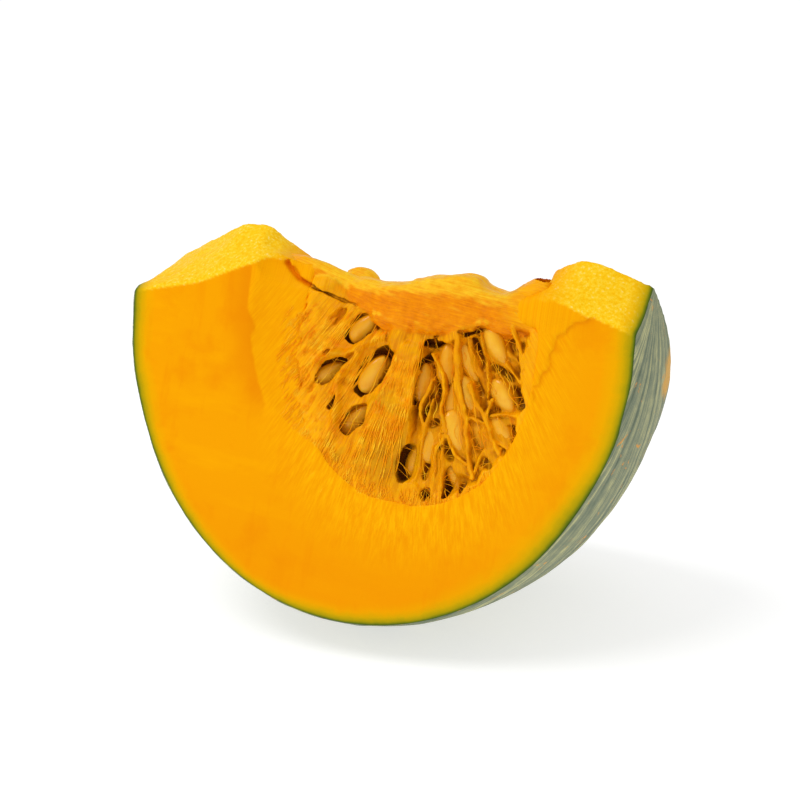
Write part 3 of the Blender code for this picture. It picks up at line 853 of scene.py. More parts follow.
class Paint:
    """A new material, with short ways to add nodes to it. Colours are screen values of 0 to 255."""

    def __init__(self, name):
        self.material = bpy.data.materials.new(name)
        self.material.use_nodes = True
        self.tree = self.material.node_tree
        self.surface = self.tree.nodes["Principled BSDF"]

    def add(self, kind, inputs, **settings):
        """A node with its settings and inputs."""
        item = self.tree.nodes.new(kind)
        for name, value in settings.items():
            setattr(item, name, value)
        self.fill(item, inputs)
        return item

    def fill(self, item, inputs):
        """Set a node's inputs to values, or link them to other nodes' outputs."""
        for name, value in inputs.items():
            if isinstance(value, bpy.types.NodeSocket):
                self.tree.links.new(value, item.inputs[name])
            else:
                item.inputs[name].default_value = value

    def calculate(self, operation, first, second):
        return self.add("ShaderNodeMath", {0: first, 1: second}, operation=operation).outputs[0]

    def times(self, first, second):
        return self.calculate("MULTIPLY", first, second)

    def plus(self, first, second):
        return self.calculate("ADD", first, second)

    def weighted(self, *parts):
        """The sum of parts of (value, weight)."""
        total = self.times(*parts[0])
        for value, weight in parts[1:]:
            total = self.plus(total, self.times(value, weight))
        return total

    def between(self, value, start, end, low=0.0, high=1.0):
        """From low to high as a value goes from start to end."""
        inputs = {"Value": value, "From Min": start, "From Max": end, "To Min": low, "To Max": high}
        return self.add("ShaderNodeMapRange", inputs, clamp=True).outputs["Result"]

    def blend(self, share, first, second):
        """A mix of two colours, which is only the second where the share is 1."""
        first, second = [shade(item) if isinstance(item, tuple) else item for item in (first, second)]
        return self.add("ShaderNodeMix", {0: share, 6: first, 7: second}, data_type="RGBA").outputs[2]

    def tint(self, base, colour, value, start, end, high=1.0):
        """A base colour with another one laid over it as a value goes from start to end."""
        return self.blend(self.between(value, start, end, 0.0, high), base, colour)

    def ramp(self, value, stops):
        """A colour for a value, from stops of (value, colour)."""
        item = self.add("ShaderNodeValToRGB", {"Fac": value})
        elements = item.color_ramp.elements
        while len(elements) < len(stops):
            elements.new(0.5)
        for element, (place, colour) in zip(elements, stops):
            element.position = place
            element.color = shade(colour)
        return item.outputs["Color"]

    def attribute(self, name):
        return self.add("ShaderNodeAttribute", {}, attribute_name=name).outputs["Fac"]

    def noise(self, places, scale, detail=4.0, roughness=0.55, distortion=0.0):
        inputs = {"Vector": places, "Scale": scale, "Detail": detail, "Roughness": roughness}
        return self.add("ShaderNodeTexNoise", inputs | {"Distortion": distortion}).outputs["Fac"]

    def stretched_noise(self, places, scales, *rest):
        """Noise whose bumps are of another size along each axis."""
        mapped = self.add("ShaderNodeMapping", {"Vector": places, "Scale": scales})
        return self.noise(mapped.outputs["Vector"], 1.0, *rest)

    def squash_place(self):
        """The place in the squash's own frame, found from the place on the piece that lies down."""
        here = self.add("ShaderNodeTexCoord", {}).outputs["Object"]
        inputs = {"Vector": here, "Location": HOLDER_PLACE, "Rotation": HOLDER_TURNS}
        return self.add("ShaderNodeMapping", inputs, vector_type="TEXTURE").outputs["Vector"]

    def fibre_noise(self, across_scale, along_scale, detail=4.0):
        """Noise that runs along the fibres."""
        across = self.times(self.attribute("across"), across_scale)
        along = self.times(self.attribute("along"), along_scale)
        places = self.add("ShaderNodeCombineXYZ", {"X": across, "Y": along}).outputs["Vector"]
        return self.noise(places, 1.0, detail, 0.6, 0.3)

    def fibre_value(self):
        """The fibres' broad streaks with their threads, and the threads alone."""
        streaks = self.fibre_noise(1.6, 0.10)
        threads = self.fibre_noise(5.0, 0.16, 3.0)
        return self.weighted((streaks, 0.6), (threads, 0.4)), threads

    def torn_colour(self, value):
        """The colour of torn flesh at the hollow's rim, on the flesh and on the pulp alike."""
        return self.blend(self.between(value, 0.40, 0.60), (244, 156, 0), (254, 182, 4))

    def finish(self, base, roughness, specular, height=None, strength=0.0, distance=0.0):
        """Give the surface its colour and shine, and small bumps where there is a height."""
        inputs = {"Base Color": base, "Roughness": roughness, "Specular IOR Level": specular}
        if height is not None:
            bump = {"Strength": strength, "Distance": distance, "Height": height}
            inputs["Normal"] = self.add("ShaderNodeBump", bump).outputs["Normal"]
        self.fill(self.surface, inputs)
        return self.material


def shade(colour):
    """A screen colour as the linear colour that the shaders use."""
    parts = [part / 255.0 for part in colour]
    linear = [part / 12.92 if part <= 0.04045 else ((part + 0.055) / 1.055) ** 2.4 for part in parts]
    return (*linear, 1.0)


def rind_colour(paint, place):
    """Grey-green rind with paler streaks from pole to pole, tan scars and a tan patch by the pole."""
    turned = paint.add("ShaderNodeMapping", {"Vector": place, "Rotation": STREAK_TURNS})
    parts = paint.add("ShaderNodeSeparateXYZ", {"Vector": turned.outputs["Vector"]}).outputs
    around = paint.calculate("ARCTAN2", parts["Z"], parts["Y"])
    meridian = paint.add("ShaderNodeCombineXYZ", {"X": parts["X"], "Y": around}).outputs["Vector"]
    streaks = paint.stretched_noise(meridian, (14.0, 22.0, 1.0), 6.0, 0.6, 0.6)
    fine = paint.stretched_noise(meridian, (50.0, 150.0, 1.0), 4.0, 0.7, 0.4)
    mottle = paint.noise(place, 190.0, 5.0, 0.6)
    base = paint.ramp(paint.weighted((streaks, 0.48), (fine, 0.39), (mottle, 0.16)), [
        (0.38, (86, 98, 78)),
        (0.47, (122, 132, 112)),
        (0.54, (148, 152, 122)),
        (0.60, (196, 194, 142)),
    ])
    base = paint.tint(base, (214, 156, 84), paint.noise(place, 140.0, 5.0, 0.7, 0.8), 0.62, 0.65)
    edge = paint.weighted((paint.attribute("patch"), 0.1), (mottle, 1.0))
    return paint.tint(base, (222, 170, 84), edge, 1.80, 1.35, 0.85)


def flesh_level(paint, place, fine, depth):
    """How far from the rind to the ripe flesh a place is, with wandering borders."""
    wander = paint.times(paint.plus(paint.noise(place, 45.0, 3.0), -0.5), 5.0)
    fray = paint.times(paint.plus(fine, -0.5), 1.4)
    moved = paint.times(paint.plus(wander, fray), paint.between(depth, 0.0, 4.0))
    across = paint.add("ShaderNodeSeparateXYZ", {"Vector": place}).outputs["X"]
    spread = paint.between(across, -0.04, 0.08, 9.0, 17.0)
    spread = paint.plus(spread, paint.between(across, -0.07, -0.10, 0.0, 6.0))
    return paint.calculate("DIVIDE", paint.plus(depth, moved), spread)


def flesh_colour(paint, place, level, shaded):
    """Green by the rind, then olive and yellow, then orange with blotches, pale parts and marks, painted
    shade towards the bottom and painted shade by the arms' fold and step and along the crack.
    """
    base = paint.ramp(level, [
        (0.018, (44, 70, 24)),
        (0.048, (96, 112, 20)),
        (0.110, (168, 150, 10)),
        (0.240, (212, 166, 4)),
        (0.420, (238, 168, 0)),
        (0.700, (244, 160, 0)),
    ])
    ripe = paint.between(level, 0.20, 0.60)
    blotches = paint.noise(place, 70.0, 6.0, 0.6)
    pale = paint.stretched_noise(place, (30.0, 60.0, 110.0), 5.0, 0.6)
    marks = paint.stretched_noise(place, (160.0, 60.0, 26.0), 4.0, 0.6)
    height = paint.add("ShaderNodeSeparateXYZ", {"Vector": place}).outputs["Z"]
    for value, start, end, most, colour in (
        (blotches, 0.50, 0.70, 0.6, (238, 142, 0)),
        (pale, 0.54, 0.75, 0.45, (250, 174, 0)),
        (marks, 0.56, 0.72, 0.5, (238, 140, 0)),
        # painted shade: darker orange towards the bottom
        (height, -0.065, -0.100, 0.55, (240, 146, 0)),
    ):
        share = paint.times(ripe, paint.between(value, start, end, 0.0, most))
        base = paint.blend(share, base, colour)
    # painted shade by the left arm's fold, the right arm's step and along the crack
    return paint.blend(shaded, base, (230, 128, 0))


def make_flesh():
    """Orange flesh that turns yellow, olive and dark green towards the rind, and the rind itself."""
    paint = Paint("squash_flesh")
    place = paint.squash_place()
    depth, shaded, rim, facet = [
        paint.attribute(name) for name in ("rind_depth", "shaded", "rim", "facet")
    ]
    fine = paint.noise(place, 420.0, 3.0)
    base = flesh_colour(paint, place, flesh_level(paint, place, fine, depth), shaded)

    value, threads = paint.fibre_value()
    torn = paint.times(rim, paint.between(threads, 0.35, 0.56, 0.30, 1.0))
    torn = paint.times(torn, paint.between(shaded, 0.3, 0.9, 1.0, 0.0))
    base = paint.blend(torn, base, paint.torn_colour(value))

    grain = paint.noise(place, 760.0, 4.0, 0.65)
    facet_colour = paint.ramp(grain, [
        (0.30, (248, 182, 6)),
        (0.48, (252, 200, 24)),
        (0.60, (254, 210, 52)),
        (0.74, (255, 224, 140)),
    ])
    base = paint.blend(paint.times(facet, paint.between(depth, 1.0, 7.0)), base, facet_colour)

    skin = paint.between(depth, 0.45, 0.25)
    base = paint.blend(skin, base, rind_colour(paint, place))
    height = paint.weighted((fine, 0.4), (grain, 0.6), (paint.times(rim, threads), 2.0))
    return paint.finish(base, paint.between(skin, 0.0, 1.0, 0.42, 0.60), 0.02, height, 0.22, 0.0005)


def core_colour(paint, value, grain, crease):
    """The core's orange, yellower where it faces up, partly the paler cut top and partly painted light,
    and with painted brown shade in its creases.
    """
    grained = paint.weighted((grain, 0.4), (value, 0.6))
    base = paint.ramp(grained, [
        (0.36, (218, 116, 0)),
        (0.48, (238, 136, 0)),
        (0.56, (246, 150, 0)),
        (0.66, (254, 172, 4)),
    ])
    # painted light: faces that look up are blended to a paler yellow, partly the cut top's own tone
    top = paint.blend(paint.between(grained, 0.42, 0.58), (246, 164, 0), (255, 204, 36))
    base = paint.blend(paint.attribute("upper"), base, top)
    # painted shade: the core is browned in its creases
    return paint.tint(base, (158, 76, 0), crease, 0.30, 0.75, 0.85)


def make_pulp_material():
    """Stringy pulp, orange on its strands, with painted shade that dulls it and browns it deep between
    them and in its creases.
    """
    paint = Paint("squash_pulp")
    place = paint.squash_place()
    sunk, crease, rim, core = [paint.attribute(name) for name in ("sunk", "crease", "rim", "core")]
    broad = paint.noise(place, 110.0, 4.0)
    value, threads = paint.fibre_value()
    base = paint.ramp(value, [
        (0.30, (200, 118, 0)),
        (0.44, (228, 144, 0)),
        (0.56, (244, 166, 0)),
        (0.70, (254, 190, 14)),
    ])
    base = paint.tint(base, (234, 132, 0), broad, 0.50, 0.70, 0.5)
    base = paint.tint(base, (204, 148, 6), paint.noise(place, 60.0, 4.0, 0.65), 0.54, 0.68, 0.6)
    # painted shade: the deeper the pulp lies, the more it turns to the duller film colour, partly the
    # film's own tone, and then to dark brown deep in the pockets
    film = paint.ramp(broad, [(0.38, (176, 112, 4)), (0.62, (222, 160, 14))])
    base = paint.tint(base, film, sunk, 1.2, 4.0)
    base = paint.tint(base, (84, 42, 0), sunk, 4.0, 7.5)
    # painted shade: the pulp is browned in its creases
    base = paint.tint(base, (128, 62, 0), crease, 0.40, 0.85, 0.85)
    flat = paint.times(rim, paint.between(sunk, 2.0, 0.8))
    base = paint.blend(flat, base, paint.torn_colour(value))
    grain = paint.noise(place, 240.0, 6.0, 0.65)
    base = paint.blend(core, base, core_colour(paint, value, grain, crease))
    height = paint.weighted((threads, 1.0), (grain, 0.5))
    return paint.finish(base, 0.32, 0.07, height, 0.40, 0.0005)


def make_thread_material():
    """Threads that go from orange to pale yellow."""
    paint = Paint("squash_threads")
    base = paint.ramp(paint.noise(paint.squash_place(), 160.0, 3.0), [
        (0.35, (244, 144, 0)),
        (0.50, (252, 172, 6)),
        (0.65, (255, 198, 34)),
    ])
    return paint.finish(base, 0.32, 0.08)


def make_seed_material():
    """Cream seeds, darker and more orange at their rims and paler in the middle of each face, partly their
    own tone and partly painted light, under a shiny film.
    """
    paint = Paint("squash_seed")
    broad = paint.noise(paint.squash_place(), 260.0, 4.0)
    # partly painted light: each face is paler in its middle and darker at its rim
    base = paint.ramp(paint.attribute("face"), [
        (0.10, (214, 138, 2)),
        (0.55, (232, 160, 10)),
        (0.95, (244, 184, 42)),
    ])
    base = paint.tint(base, (236, 162, 14), broad, 0.42, 0.68, 0.7)
    paint.fill(paint.surface, {"Coat Weight": 0.30, "Coat Roughness": 0.10})
    return paint.finish(base, 0.30, 0.10, broad, 0.15, 0.0004)


# The pieces

def on_grid(axes):
    """The coordinates of a grid's places, each laid along its own axis."""
    x, y, z = [line.astype(np.float32) for line in axes]
    return x[:, None, None], y[None, :, None], z[None, None, :]


def make_wall_piece(material):
    """The flesh and its rind."""
    axes = grid_axes(*WALL_BOX, WALL_STEP)
    points, faces = surface_of(wall_field(*on_grid(axes)), axes)
    x, y, z = points.T
    outside = body_field(x, y, z)
    rind = ease(outside, -0.0012, -0.0004)
    facet = ease(np.abs(z - top_height(x, y)), 0.0022, 0.0012)
    relief = FACET_GRAIN * noise((x, y, z), 0.0018, 201, 2) * facet * (1.0 - rind)
    relief = relief + RIND_RELIEF * noise((x, y, z), 0.0110, 205) * rind
    points = points + normals_of(points, faces) * relief[:, None]
    piece = new_object("flesh_and_rind", points, faces, material)
    in_hollow = (np.abs(cavity_field(x, y, z, WALL_CAVITY_SCALE)) < 0.0008) & (y > -0.026)
    thin_out(piece, WALL_TRIANGLES, (outside > -0.0006) | in_hollow)
    keep_above_ground(piece)
    set_wall_attributes(piece)
    return piece


def arm_shade(x, z, fold, on_arm):
    """How much a place on the arms is shaded by the left arm's fold or the right arm's step."""
    left = 0.65 * ease(fold, -FOLD_REACH, 0.0) * ease(fold, 0.0012, -0.0003) * on_arm
    step = step_distance(x, z)
    right = 0.8 * np.exp(-np.maximum(step, 0.0) / 0.0022) * ease(step, -0.0005, 0.0003)
    right = right * ease(z, -0.020, -0.012) * ease(x, 0.050, 0.060)
    return np.maximum(left, right)


def set_wall_attributes(piece):
    """What the flesh's material reads at each point: depths, shares and places along the fibres."""
    x, y, z = read_vertices(piece, "co").T
    across, along = fibre_places(x, z)
    facet = ease(np.abs(z - top_height(x, y)), 0.0016, 0.0010)
    fresh = np.where(x < 0.0, ease(x, *FRESH_LEFT), ease(x, *FRESH_RIGHT))
    near_front = ease(y, -0.020, -0.027)
    fold = fold_distance(x, z)
    on_arm = ease(z, -0.046, -0.032) * ease(x, -0.020, -0.030)
    torn = ease(fold, -0.0003, 0.0012) * on_arm
    rim = ease(rim_share(x, z), 1.50, 1.02)
    shaded = arm_shade(x, z, fold, on_arm) * (1.0 - facet)
    # painted shadow along the crack under the band
    crack_shade = np.exp(-((distance_to_line(CRACK, x, z) / 0.0013) ** 2))
    away = [place - middle for place, middle in zip((x, y, z), PATCH_PLACE)]
    set_attributes(
        piece,
        rind_depth=np.maximum(-body_field(x, y, z), 0.0) / MM,
        facet=facet * fresh,
        rim=np.maximum(rim, 0.6 * torn) * near_front,
        across=across,
        along=along,
        patch=np.sqrt(away[0] ** 2 + away[1] ** 2 + away[2] ** 2) / MM,
        shaded=np.maximum(shaded, crack_shade) * near_front,
    )


def make_pulp_piece(name, box, step, cut, most_triangles, material):
    """A part of the pulp, cut from the whole by a plane of constant y."""
    axes = grid_axes(*box, step)
    x, y, z = on_grid(axes)
    field = smooth_max(pulp_field(x, y, z), cut(y), 0.0003)
    points, faces = surface_of(field, axes)
    x, y, z = points.T
    core = core_share(x, y, z)
    relief = PULP_RELIEF * noise((x, y, z), 0.0032, 211) * (1.0 - 0.6 * core)
    relief = relief + CORE_RELIEF * noise((x / 3.5, y, z + 0.20 * x), 0.0030, 215) * core
    points = points + normals_of(points, faces) * relief[:, None]
    piece = new_object(name, points, faces, material)
    thin_out(piece, most_triangles)
    set_pulp_attributes(piece, field, axes)
    return piece


def core_share(x, y, z):
    """How much a place belongs to the core and the band, from 0 to 1."""
    return ease(core_field(x, y, z), 0.0018, 0.0004)


def set_pulp_attributes(piece, field, axes):
    """What the pulp's material reads at each point: depths, shares and places along the fibres."""
    points = read_vertices(piece, "co")
    facing = read_vertices(piece, "normal")
    x, y, z = points.T
    back_depth, back_height = back_places(y, z)
    at_back = back_depth < y - FRONT_CUT_Y
    across, along = fibre_places(x, np.where(at_back, back_height, z))
    in_core = core_field(x, y, z) < 0.0010
    slant = np.where(x < CORE_BEND_X, 0.28 * x, 0.28 * CORE_BEND_X + 0.06 * (x - CORE_BEND_X))
    shoulder = ease(x, 0.046, 0.058) * ease(z, 0.009, 0.014)
    shoulder = np.maximum(shoulder, ease(x, -0.026, -0.038) * ease(z, 0.012, 0.016))
    sunk_front = y - FRONT_CUT_Y - sheet_depth(x, z) - 0.5 * open_depth(x, z)
    sunk = np.where(at_back & (shoulder < 0.5), back_depth - 0.0050, sunk_front * (1.0 - shoulder))
    rim = np.where(at_back, 0.0, rim_share(x, z))
    crease = crease_share(field, axes, points, facing)
    set_attributes(
        piece,
        across=np.where(in_core, (z + slant + 0.5 * y) / MM, across),
        along=np.where(in_core, x / MM, along),
        sunk=sunk / MM,
        core=core_share(x, y, z) * (1.0 - shoulder),
        rim=np.maximum(ease(rim, 0.78, 0.95), shoulder),
        # the share of painted crease shade, less on the shoulders
        crease=crease * (1.0 - 0.85 * shoulder),
        # how much a point faces up, for the painted light on the core's top
        upper=ease(facing[:, 2], 0.10, 0.60),
    )


def make_front_pulp(material):
    """The pulp that the front cut shows, with the core."""
    return make_pulp_piece(
        "pulp_front", PULP_FRONT_BOX, PULP_STEP, lambda y: y - PULP_SPLIT_Y, PULP_TRIANGLES, material
    )


def make_back_pulp(material):
    """The pulp behind the other, which it laps over a little."""
    return make_pulp_piece(
        "pulp_back", PULP_BACK_BOX, PULP_BACK_STEP, lambda y: PULP_SPLIT_Y - PULP_LAP - y,
        PULP_BACK_TRIANGLES, material,
    )


def seed_shape():
    """A plump seed with a blunt and a pointed end and a thin rim: its points, faces and face shares."""
    rings = 26
    around = 24
    points = []
    share = []
    for ring in range(1, rings):
        along = -math.cos(math.pi * ring / rings)
        width = math.sqrt(1.0 - along * along) * (1.0 - 0.26 * along)
        for step in range(around):
            angle = 2.0 * math.pi * step / around
            side = math.cos(angle)
            plump = 0.86 * math.sqrt(max(1.0 - abs(side) ** 2.6, 0.0)) + 0.14 * (1.0 - abs(side) ** 8.0)
            lift = math.copysign(plump, math.sin(angle)) if abs(side) < 0.9999 else 0.0
            points.append((along, lift * width ** 0.8, side * width))
            share.append(1.0 - abs(side) ** 3.0)
    points += [(-1.0, 0.0, 0.0), (1.0, 0.0, 0.0)]
    share += [0.1, 0.1]
    first_tip, last_tip = len(points) - 2, len(points) - 1
    faces = []
    for ring in range(rings - 2):
        for step in range(around):
            here = ring * around + step
            there = ring * around + (step + 1) % around
            faces.append((here, there, there + around, here + around))
    for step in range(around):
        there = (step + 1) % around
        last = (rings - 2) * around
        faces.append((first_tip, there, step))
        faces.append((last_tip, last + step, last + there))
    return np.array(points), faces, np.array(share)


def make_seeds(name, places, at_back, chance, material):
    """Seeds laid at their places as one object."""
    shape, shape_faces, share = seed_shape()
    points = []
    faces = []
    shares = []
    for x, z, angle, turn, depth in places:
        length, width, thickness = [axis * chance.uniform(0.92, 1.04) for axis in SEED_SEMI_AXES]
        bend = chance.uniform(-0.10, 0.10)
        local = shape * (length, thickness, width)
        local[:, 2] += bend * width * (shape[:, 0] ** 2)
        turning = Matrix.Rotation(-math.radians(angle), 4, "Y")
        turning = turning @ Matrix.Rotation(math.radians(turn), 4, "X")
        placing = Matrix.Translation((x, FRONT_CUT_Y + depth, z)) @ turning
        if at_back:
            placed = [to_back_cut(placing @ Vector(point)) for point in local]
        else:
            placed = [placing @ Vector(point) for point in local]
        first = len(points)
        points.extend(tuple(point) for point in placed)
        order = slice(None) if at_back else slice(None, None, -1)
        faces.extend(tuple(first + corner for corner in face)[order] for face in shape_faces)
        shares.extend(share)
    piece = new_object(name, points, faces, material)
    set_attributes(piece, face=shares)
    return piece


def back_seed_places(chance):
    """Seeds in two rings below the core, by rule."""
    first, last = BACK_SEED_ARC
    places = []
    for number in range(BACK_SEEDS):
        angle = first + (last - first) * (number + 0.5) / BACK_SEEDS
        reach = BACK_SEED_RINGS[number % len(BACK_SEED_RINGS)]
        x = BACK_MIDDLE[0] + BACK_REACH[0] * reach * math.cos(math.radians(angle))
        z = BACK_MIDDLE[1] + BACK_REACH[1] * reach * math.sin(math.radians(angle))
        depth = float(back_sheet_depth(np.float64(x), np.float64(z))) + BACK_SEED_SINK
        places.append((x, z, angle + chance.uniform(-8, 8), chance.uniform(-30, 30), depth))
    return places


def add_tube(points, faces, line, radius, sides=6):
    """Add a tapering closed tube along a line to lists of points and faces."""
    line = np.asarray(line)
    ahead = np.gradient(line, axis=0)
    ahead /= np.linalg.norm(ahead, axis=1, keepdims=True)
    side = np.cross(ahead, (0.0, 1.0, 0.0))
    side /= np.maximum(np.linalg.norm(side, axis=1, keepdims=True), 1e-9)
    up = np.cross(side, ahead)
    first = len(points)
    count = len(line)
    shares = np.linspace(0.0, 1.0, count)
    radii = radius * np.clip(np.sin(math.pi * shares) * 2.2, 0.12, 1.0)
    for place, out, rise, size in zip(line, side, up, radii):
        for step in range(sides):
            angle = 2.0 * math.pi * step / sides
            points.append(tuple(place + size * (math.cos(angle) * out + math.sin(angle) * rise)))
    for ring in range(count - 1):
        for step in range(sides):
            here = first + ring * sides + step
            there = first + ring * sides + (step + 1) % sides
            faces.append((here, here + sides, there + sides, there))
    faces.append(tuple(first + step for step in range(sides)))
    faces.append(tuple(first + (count - 1) * sides + step for step in reversed(range(sides))))


def thread_line(start, low, high, lift, wave, chance, depth_at):
    """The points of a wavy thread that follows a fibre from low to high below the core."""
    phase = chance.uniform(0.0, 6.28)
    turns = chance.uniform(0.8, 2.2)
    drops = np.linspace(low, high, THREAD_POINTS)
    shares = np.linspace(0.0, 1.0, THREAD_POINTS)
    x = start + drops * fibre_lean(start) + wave * np.sin(phase + 6.28 * turns * shares)
    z = FIBRE_TOP_Z - drops
    depth = np.maximum(depth_at(x, z) - lift, 0.0003)
    return [(a, FRONT_CUT_Y + b, c) for a, b, c in zip(x, depth, z)]


def thread_ends(start, low, high):
    """The places (x, z) where a thread along a fibre begins and ends."""
    lean = float(fibre_lean(start))
    return [(start + drop * lean, FIBRE_TOP_Z - drop) for drop in (low, high)]


def front_rim(x, z):
    """How far towards the hollow's rim a single place on the front cut is."""
    return float(rim_share(np.float64(x), np.float64(z)))


def back_rim(x, z):
    """How far towards the hollow's rim a single place on the back cut is."""
    return math.hypot((x - BACK_MIDDLE[0]) / BACK_REACH[0], (z - BACK_MIDDLE[1]) / BACK_REACH[1])


def in_open_part(x, z):
    """Whether a place lies in the open part of the pulp on the right."""
    return float(distance_to_outline(OPEN_OUTLINE, np.float64(x), np.float64(z))) < 0.0


def over_window(x, z):
    """Whether a place lies over one of the windows' middles."""
    for across, up, angle, length, width, _ in WINDOWS:
        turn = math.radians(angle)
        side, rise = x / MM - across, z / MM - up
        along = math.cos(turn) * side + math.sin(turn) * rise
        out = math.cos(turn) * rise - math.sin(turn) * side
        if (along / length) ** 2 + (out / width) ** 2 < 0.7:
            return True
    return False


def fits_sheet(upper, lower, chance):
    """Whether a thread lies on the sheet, with its ends clear of the windows."""
    if front_rim(*upper) > 0.98 or front_rim(*lower) > 1.04:
        return False
    if in_open_part(*upper) or in_open_part(*lower) or over_window(*upper) or over_window(*lower):
        return False
    middle = [(a + b) / 2 for a, b in zip(upper, lower)]
    return not (over_window(*middle) and chance.uniform() < 0.75)


def fits_open_part(upper, lower, chance):
    """Whether both ends of a thread are in the open part."""
    return in_open_part(*upper) and in_open_part(*lower)


def fits_back(upper, lower, chance):
    """Whether both ends of a thread are on the pulp at the back cut."""
    return back_rim(*upper) <= 1.0 and back_rim(*lower) <= 1.06


def add_threads(points, faces, chance, count, ranges, fits, depth_at, side=1.0, at_back=False):
    """Add so many threads along the fibres, where they fit, above the surface or below it."""
    starts, lows, lengths, waves, lifts, radii = ranges
    while count:
        start = chance.uniform(*starts)
        low = chance.uniform(*lows)
        high = low + chance.uniform(*lengths)
        if not fits(*thread_ends(start, low, high), chance):
            continue
        wave = chance.uniform(*waves) * MM
        lift = side * chance.uniform(*lifts) * MM
        line = thread_line(start, low, high, lift, wave, chance, depth_at)
        if at_back:
            line = [tuple(to_back_cut(Vector(point))) for point in line]
        add_tube(points, faces, line, chance.uniform(*radii) * MM)
        count -= 1


def add_window_hairs(points, faces, chance):
    """Hairs like cobweb across each window, a little below the sheet."""
    for across, up, angle, length, width, depth in WINDOWS:
        turn = math.radians(angle)
        surface = float(sheet_depth(np.float64(across * MM), np.float64(up * MM)))
        if in_open_part(across * MM, up * MM):
            surface += 0.5 * OPEN_DEPTH
        for _ in range(WINDOW_HAIRS):
            shares = np.linspace(-1.15, 1.15, 9)
            slant = math.radians(angle + 90.0 + chance.uniform(-50.0, 50.0))
            shift = chance.uniform(-0.7, 0.7) * length
            bow = chance.uniform(-0.35, 0.35) * width
            x = across + shift * math.cos(turn) + width * shares * math.cos(slant)
            z = up + shift * math.sin(turn) + width * shares * math.sin(slant)
            x = x + bow * (1.0 - shares ** 2)
            deep = surface + (0.10 + 0.22 * chance.uniform()) * depth * MM * (1.0 - 0.5 * shares ** 2)
            line = [(a * MM, FRONT_CUT_Y + b, c * MM) for a, b, c in zip(x, deep, z)]
            add_tube(points, faces, line, chance.uniform(0.05, 0.12) * MM, HAIR_SIDES)


def add_fringe_hairs(points, faces, chance):
    """Short hairs that run from the pulp's rim out over the flesh."""
    count = FRINGE_HAIRS
    while count:
        angle = math.radians(chance.uniform(*FRINGE_ARC))
        reach = chance.uniform(0.90, 1.15)
        x = CAVITY_CENTRE[0] + reach * FRINGE_REACH[0] * math.cos(angle)
        z = CAVITY_CENTRE[2] + reach * FRINGE_REACH[1] * math.sin(angle)
        drop = FIBRE_TOP_Z - z
        if drop < 0.010 or in_open_part(x, z):
            continue
        start = float(fibre_start(np.float64(x), np.float64(drop)))
        half = chance.uniform(0.0012, 0.0040)
        wave = chance.uniform(0.05, 0.45) * MM
        lift = chance.uniform(0.02, 0.20) * MM
        line = thread_line(start, drop - half, drop + half, lift, wave, chance, flesh_depth)
        add_tube(points, faces, line, chance.uniform(0.08, 0.18) * MM, HAIR_SIDES)
        count -= 1


def make_front_threads(chance, material):
    """Threads on the sheet and in its open part, hairs over the windows and hairs at the rim."""
    points = []
    faces = []
    add_threads(points, faces, chance, SHEET_THREADS, SHEET_RANGES, fits_sheet, sheet_depth)
    add_threads(points, faces, chance, OPEN_THREADS, OPEN_RANGES, fits_open_part, sheet_depth, -1.0)
    add_window_hairs(points, faces, chance)
    add_fringe_hairs(points, faces, chance)
    return new_object("threads_front", points, faces, material)


def make_back_threads(chance, material):
    """Thin threads that follow the fibres over the pulp at the back cut."""
    points = []
    faces = []
    add_threads(
        points, faces, chance, BACK_THREADS, BACK_RANGES, fits_back, back_sheet_depth, at_back=True
    )
    return new_object("threads_back", points, faces, material)


def make_floor():
    """A plain pale floor."""
    edges = np.linspace(-FLOOR_HALF, FLOOR_HALF, FLOOR_ROWS + 1)
    points = [(x, y, 0.0) for x in edges for y in edges]
    side = len(edges)
    corners = [row * side + column for row in range(FLOOR_ROWS) for column in range(FLOOR_ROWS)]
    faces = [(here, here + side, here + side + 1, here + 1) for here in corners]
    paint = Paint("floor")
    paint.fill(paint.surface, {
        "Base Color": (0.60, 0.60, 0.60, 1.0),
        "Roughness": 0.9,
        "Emission Color": (1.0, 1.0, 1.0, 1.0),
        "Emission Strength": 0.57,
        "Specular IOR Level": 0.0,
    })
    new_object("floor", points, faces, paint.material)


def add_key_light():
    """A soft light from the front left and above."""
    light = bpy.data.lights.new("key", "AREA")
    light.shape = "DISK"
    light.size = KEY_SIZE
    light.energy = KEY_POWER
    item = bpy.data.objects.new("key", light)
    item.location = KEY_PLACE
    item.rotation_euler = (Vector(KEY_AIM) - Vector(KEY_PLACE)).to_track_quat("-Z", "Y").to_euler()
    bpy.context.scene.collection.objects.link(item)


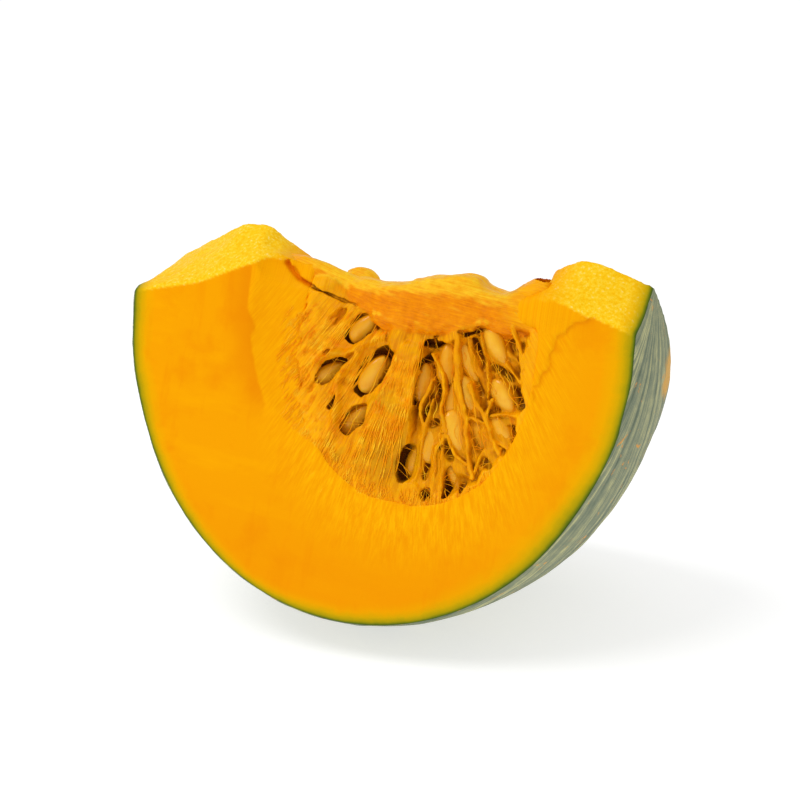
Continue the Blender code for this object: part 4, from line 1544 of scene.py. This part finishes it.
def light_scene():
    """A white sky, a key light and plain colours."""
    world = bpy.data.worlds.new("studio")
    world.use_nodes = True
    background = world.node_tree.nodes["Background"]
    background.inputs["Color"].default_value = (1.0, 1.0, 1.0, 1.0)
    background.inputs["Strength"].default_value = SKY_STRENGTH
    bpy.context.scene.world = world
    add_key_light()
    bpy.context.scene.view_settings.view_transform = "Standard"


def add_camera():
    """The camera, placed from its turns about the squash."""
    turn, rise, roll = [math.radians(angle) for angle in (CAMERA_TURN, CAMERA_RISE, CAMERA_ROLL)]
    back = Vector((math.sin(turn) * math.cos(rise), -math.cos(turn) * math.cos(rise), math.sin(rise)))
    level = Vector((math.cos(turn), math.sin(turn), 0.0))
    upright = back.cross(level)
    right = level * math.cos(roll) + upright * math.sin(roll)
    up = upright * math.cos(roll) - level * math.sin(roll)
    eye = back * CAMERA_DISTANCE + right * CAMERA_ACROSS + up * CAMERA_UP
    lens = bpy.data.cameras.new("camera")
    lens.lens = CAMERA_LENS
    lens.sensor_width = CAMERA_SENSOR
    item = bpy.data.objects.new("camera", lens)
    placing = Matrix.Translation(eye) @ Matrix((right, up, back)).transposed().to_4x4()
    item.matrix_world = HOLDER @ placing
    bpy.context.scene.collection.objects.link(item)
    bpy.context.scene.camera = item


def place_piece(piece, node=None):
    """Lay a piece down as the solids lie, and name what it rides on and what it replaces."""
    piece.data.transform(HOLDER)
    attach(piece, "root")
    if node:
        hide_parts(node)


def main():
    add_camera()
    chance = np.random.default_rng(RANDOM_SEED)
    flesh = make_flesh()
    pulp = make_pulp_material()
    threads = make_thread_material()
    seed = make_seed_material()
    place_piece(make_wall_piece(flesh), "wall")
    place_piece(make_front_pulp(pulp), "pulp")
    place_piece(make_back_pulp(pulp), "pulp")
    place_piece(make_seeds("seeds_front", FRONT_SEEDS, False, chance, seed))
    place_piece(make_seeds("seeds_back", back_seed_places(chance), True, chance, seed))
    place_piece(make_front_threads(chance, threads))
    place_piece(make_back_threads(chance, threads))
    make_floor()
    light_scene()


main()
